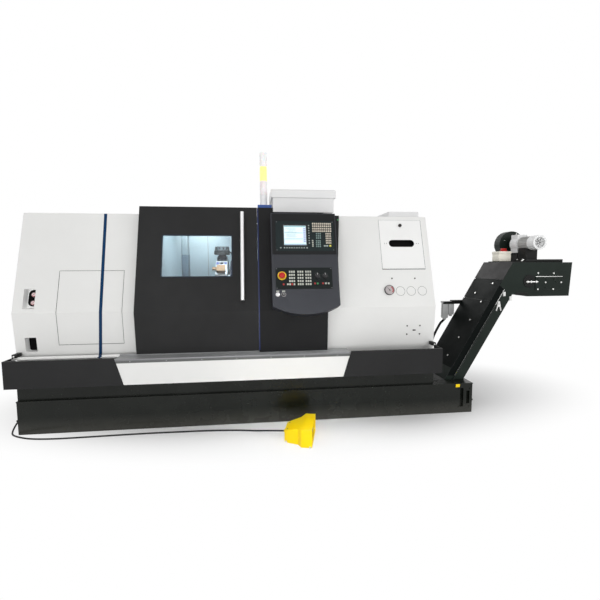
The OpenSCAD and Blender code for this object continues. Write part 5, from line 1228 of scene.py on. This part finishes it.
FLIGHT_PITCH, BELT_Y = 120, 515
belt_slats = []
belt_path = [(-850, 210), (2059, 210), (2709, 1335.6)]
for (x0, z0), (x1, z1) in zip(belt_path, belt_path[1:]):
    along = Vector((x1 - x0, 0, z1 - z0))
    out = Vector((-along.z, 0, along.x)).normalized()
    for k in range(int(along.length // FLIGHT_PITCH)):
        spot = Vector((x0, BELT_Y, z0)) + along.normalized() * (FLIGHT_PITCH * (k + 0.5))
        belt_slats.append(facing(*spot, out, along))
studs("belt_flights", belt_slats, slat_steel, BLOCK, 0.5, 14, (416, 5, 1))

# Foot switch

softened("pedal_housing", 7, yellow)
PEDAL = WORKSHOP @ Matrix.Translation((415, -180, 0)) @ Matrix.Rotation(radians(-13.5), 4, "Z")


def in_pedal(x, y, z, out, up=(1, 0, 0)):
    """Place on the foot switch, in its own directions."""
    spot = PEDAL @ Vector((x, y, z))
    spin = PEDAL.to_3x3()
    place = WORKSHOP.inverted() @ spot
    return facing(*place, spin @ Vector(out), spin @ Vector(up))


pedal_screws = [in_pedal(24, s * 62, 102.4, (-0.32, 0, 0.95)) for s in (-1, 1)]
studs("pedal_screws", pedal_screws, dull_screw, ALLEN, 6, 3)
feet = Shape()
for x, y in ((16, -88), (16, 88), (224, -177), (224, 177)):
    feet.turned([(0, 1), (9, 1), (10, 4), (10, 15), (0, 15)], in_pedal(x, y, 0, UPWARD), 20)
piece("pedal_feet", feet, bright)
TREADLE_TILT = radians(4)
tread_out = (-sin(TREADLE_TILT), 0, cos(TREADLE_TILT))
for body, middle in (("treadle_left", 46), ("treadle_right", -46)):
    ribs = []
    for s in range(24, 135, 11):
        ribs.append(in_pedal(78 + s * cos(TREADLE_TILT) - 10 * sin(TREADLE_TILT), middle,
                             41 + s * sin(TREADLE_TILT) + 10 * cos(TREADLE_TILT) - 0.2, tread_out))
    studs(f"{body}_ribs", ribs, dull_screw, BLOCK, 0.5, 2.0, (74, 4, 1), body=body, slot="treadle_metal")
softened("cable_gland", 0.8, black_plastic, 2)

# Work area

block("work_lamp_housing", (-620, 640, 1900), (320, 690, 1926), 6, rail_grey)
block("work_lamp", (-600, 646, 1894), (300, 684, 1901), 3, lamp_glow)
CHAMBER_BACK = 1620.0
seams = Shape()
for x in (-418, -60, 420, 900, 1380):
    seams.box((x, CHAMBER_BACK - 3.5, 1160), (x + 5, CHAMBER_BACK, 1936))
seams.box((-714, CHAMBER_BACK - 4, 1200), (1778, CHAMBER_BACK, 1206))
piece("chamber_seams", seams, rail_grey)
block("chamber_corner_duct", (-714, 1470, 1604), (-645, 1619, 1936), 3, duct_pale)
block("chamber_duct_foot", (-714, 1466, 1230), (-641, 1619, 1602), 3, duct_blue)
wall_screws = crossings((-390, -90, 390, 450, 870), [CHAMBER_BACK], (1260, 1560, 1860), FORWARD)
studs("chamber_screws", wall_screws, bright, BUTTON, 6, 3)
TURRET_Z, STATION = 1320, radians(30)
RIM = 210 * cos(STATION / 2)
TOOL_X, TOOL_Y, TOOL_Z = -205.0, 1195.69, TURRET_Z + RIM
painted("live_tool", cutter_pale, (tool_dark, lambda spot: spot.z < TOOL_Z + 72.5),
        (cutter_steel, lambda spot: spot.z < TOOL_Z + 119))


def outward(spot, stations):
    """Distance of a spot from the turret's axis, measured some stations forward of the vertical."""
    tilt = stations * STATION
    return (TOOL_Y - spot.y) * sin(tilt) + (spot.z - TURRET_Z) * cos(tilt)


painted("turret_disc", turret_steel, (tool_dark, lambda spot: outward(spot, 0) > RIM + 0.5),
        (button_white, lambda spot: abs(outward(spot, 1) - RIM) < 0.5),
        (tool_brass, lambda spot: outward(spot, 2) > RIM + 0.5 and outward(spot, 0) < 190))
rim_out = Vector((0, -sin(STATION), cos(STATION)))
rim_place = facing(*(Vector((TOOL_X, TOOL_Y, TURRET_Z)) + rim_out * RIM), rim_out)
rim_parts = Shape().ring(rounded(116, 46, 4, 3), rounded(60, 44, 3, 3), 0, 2.5, rim_place)
piece("station_plate", rim_parts, tool_blue, "turret_disc")
teeth = []
for radius, height, count in ((87.6, 96, 14), (77.6, 142, 12)):
    for k in range(count):
        a = 2 * pi * (k + 0.5) / count
        teeth.append(facing(TOOL_X + radius * cos(a), TOOL_Y + radius * sin(a), TOOL_Z + height,
                            (cos(a), sin(a), 0)))
studs("cutter_teeth", teeth, black_plastic, BLOCK, 0.5, 4, (13, 30, 1), body="live_tool", slot="steel")
hose = smooth_route([(-62, 1128, 1470), (-64, 1116, 1494), (-72, 1088, 1550), (-88, 1074, 1600),
                     (-105, 1080, 1622)], 8)
piece("coolant_nozzle", Shape().tube(hose, 7, 10), black_plastic, "turret_slide")
SPINDLE_Y, SPINDLE_Z = 780, 1080
chuck_bolts = []
for a in (radians(d) for d in (60, 180, 300)):
    for radius in (125, 165):
        chuck_bolts.append(facing(-570, SPINDLE_Y - radius * sin(a), SPINDLE_Z + radius * cos(a), (1, 0, 0)))
studs("chuck_bolts", chuck_bolts, dull_screw, ALLEN, 9, 4, body="spindle", slot="steel")

# Sides and back

CABINET_BACK = 2270.0
hinges = crossings((318, 1682), [CABINET_BACK], (640, 1200, 1760), BACKWARD)
studs("cabinet_hinges", hinges, dull_screw, BLOCK, 0.5, 9, (16, 70, 1))
locks = Shape()
for place in crossings((960, 1040), [CABINET_BACK], [1250], BACKWARD):
    locks.prism(rounded(30, 120, 8), 0, 10, place, 2)
    locks.box((-8, -40, 10), (8, 40, 24), place, 3)
piece("cabinet_locks", locks, black_plastic)
main_switch = facing(1520, CABINET_BACK, 1620, BACKWARD)
piece("main_switch_plate", Shape().prism(rounded(90, 90, 6), 0, 3, main_switch), collar_yellow)
turn_knob = Shape().turned([(0, 3), (34, 3), (34, 10), (30, 14), (0, 14)], main_switch, 36)
turn_knob.box((-9, -30, 13), (9, 30, 32), main_switch, 3)
piece("main_switch_knob", turn_knob, stop_red)
REAR = 1950.0
rear_seams = Shape()
for x in (-1270, -630, 10):
    rear_seams.box((x - 1.5, REAR - 1, 330), (x + 1.5, REAR + 1.2, 1930))
rear_seams.box((-1895, REAR - 1, 1100), (290, REAR + 1.2, 1103))
piece("rear_panel_seams", rear_seams, pit_black)
rear_screws = crossings((-1870, -1300, -1240, -660, -600, -20, 40), [REAR],
                        (350, 720, 1080, 1130, 1520, 1910), BACKWARD)
studs("rear_panel_screws", rear_screws, dull_screw, BUTTON, 7, 3)
END_X = 1915
end_seams, vents, end_screws = Shape(), [], []
for side in (-1, 1):
    x = side * END_X
    for z in (620, 1420):
        end_seams.box((x, 900, z), (x + side, 1700, z + 3))
    for y in (900, 1697):
        end_seams.box((x, y, 622), (x + side, y + 3, 1421))
    vents += crossings([x], [1300], range(700, 909, 26), (side, 0, 0))
    end_screws += crossings([x], (930, 1300, 1670), (650, 1392), (side, 0, 0))
piece("end_door_seams", end_seams, pit_black)
studs("end_louvres", vents, roof_white, BLOCK, 0.5, 6, (420, 9, 1))
studs("end_door_screws", end_screws, dull_screw, BUTTON, 7, 3)
bar_ring = Shape().ring(round_outline(98), round_outline(80), 0, 4,
                        facing(-END_X, SPINDLE_Y, SPINDLE_Z, (-1, 0, 0)))
piece("bar_opening_ring", bar_ring, black_plastic)
eyes = Shape()
for place in crossings((-1500, 1300), (900, 1700), [1942], UPWARD, BACKWARD):
    eyes.turned([(0, 0), (26, 0), (26, 10), (18, 14), (0, 14)], place, 28)
piece("lifting_caps", eyes, black_plastic)
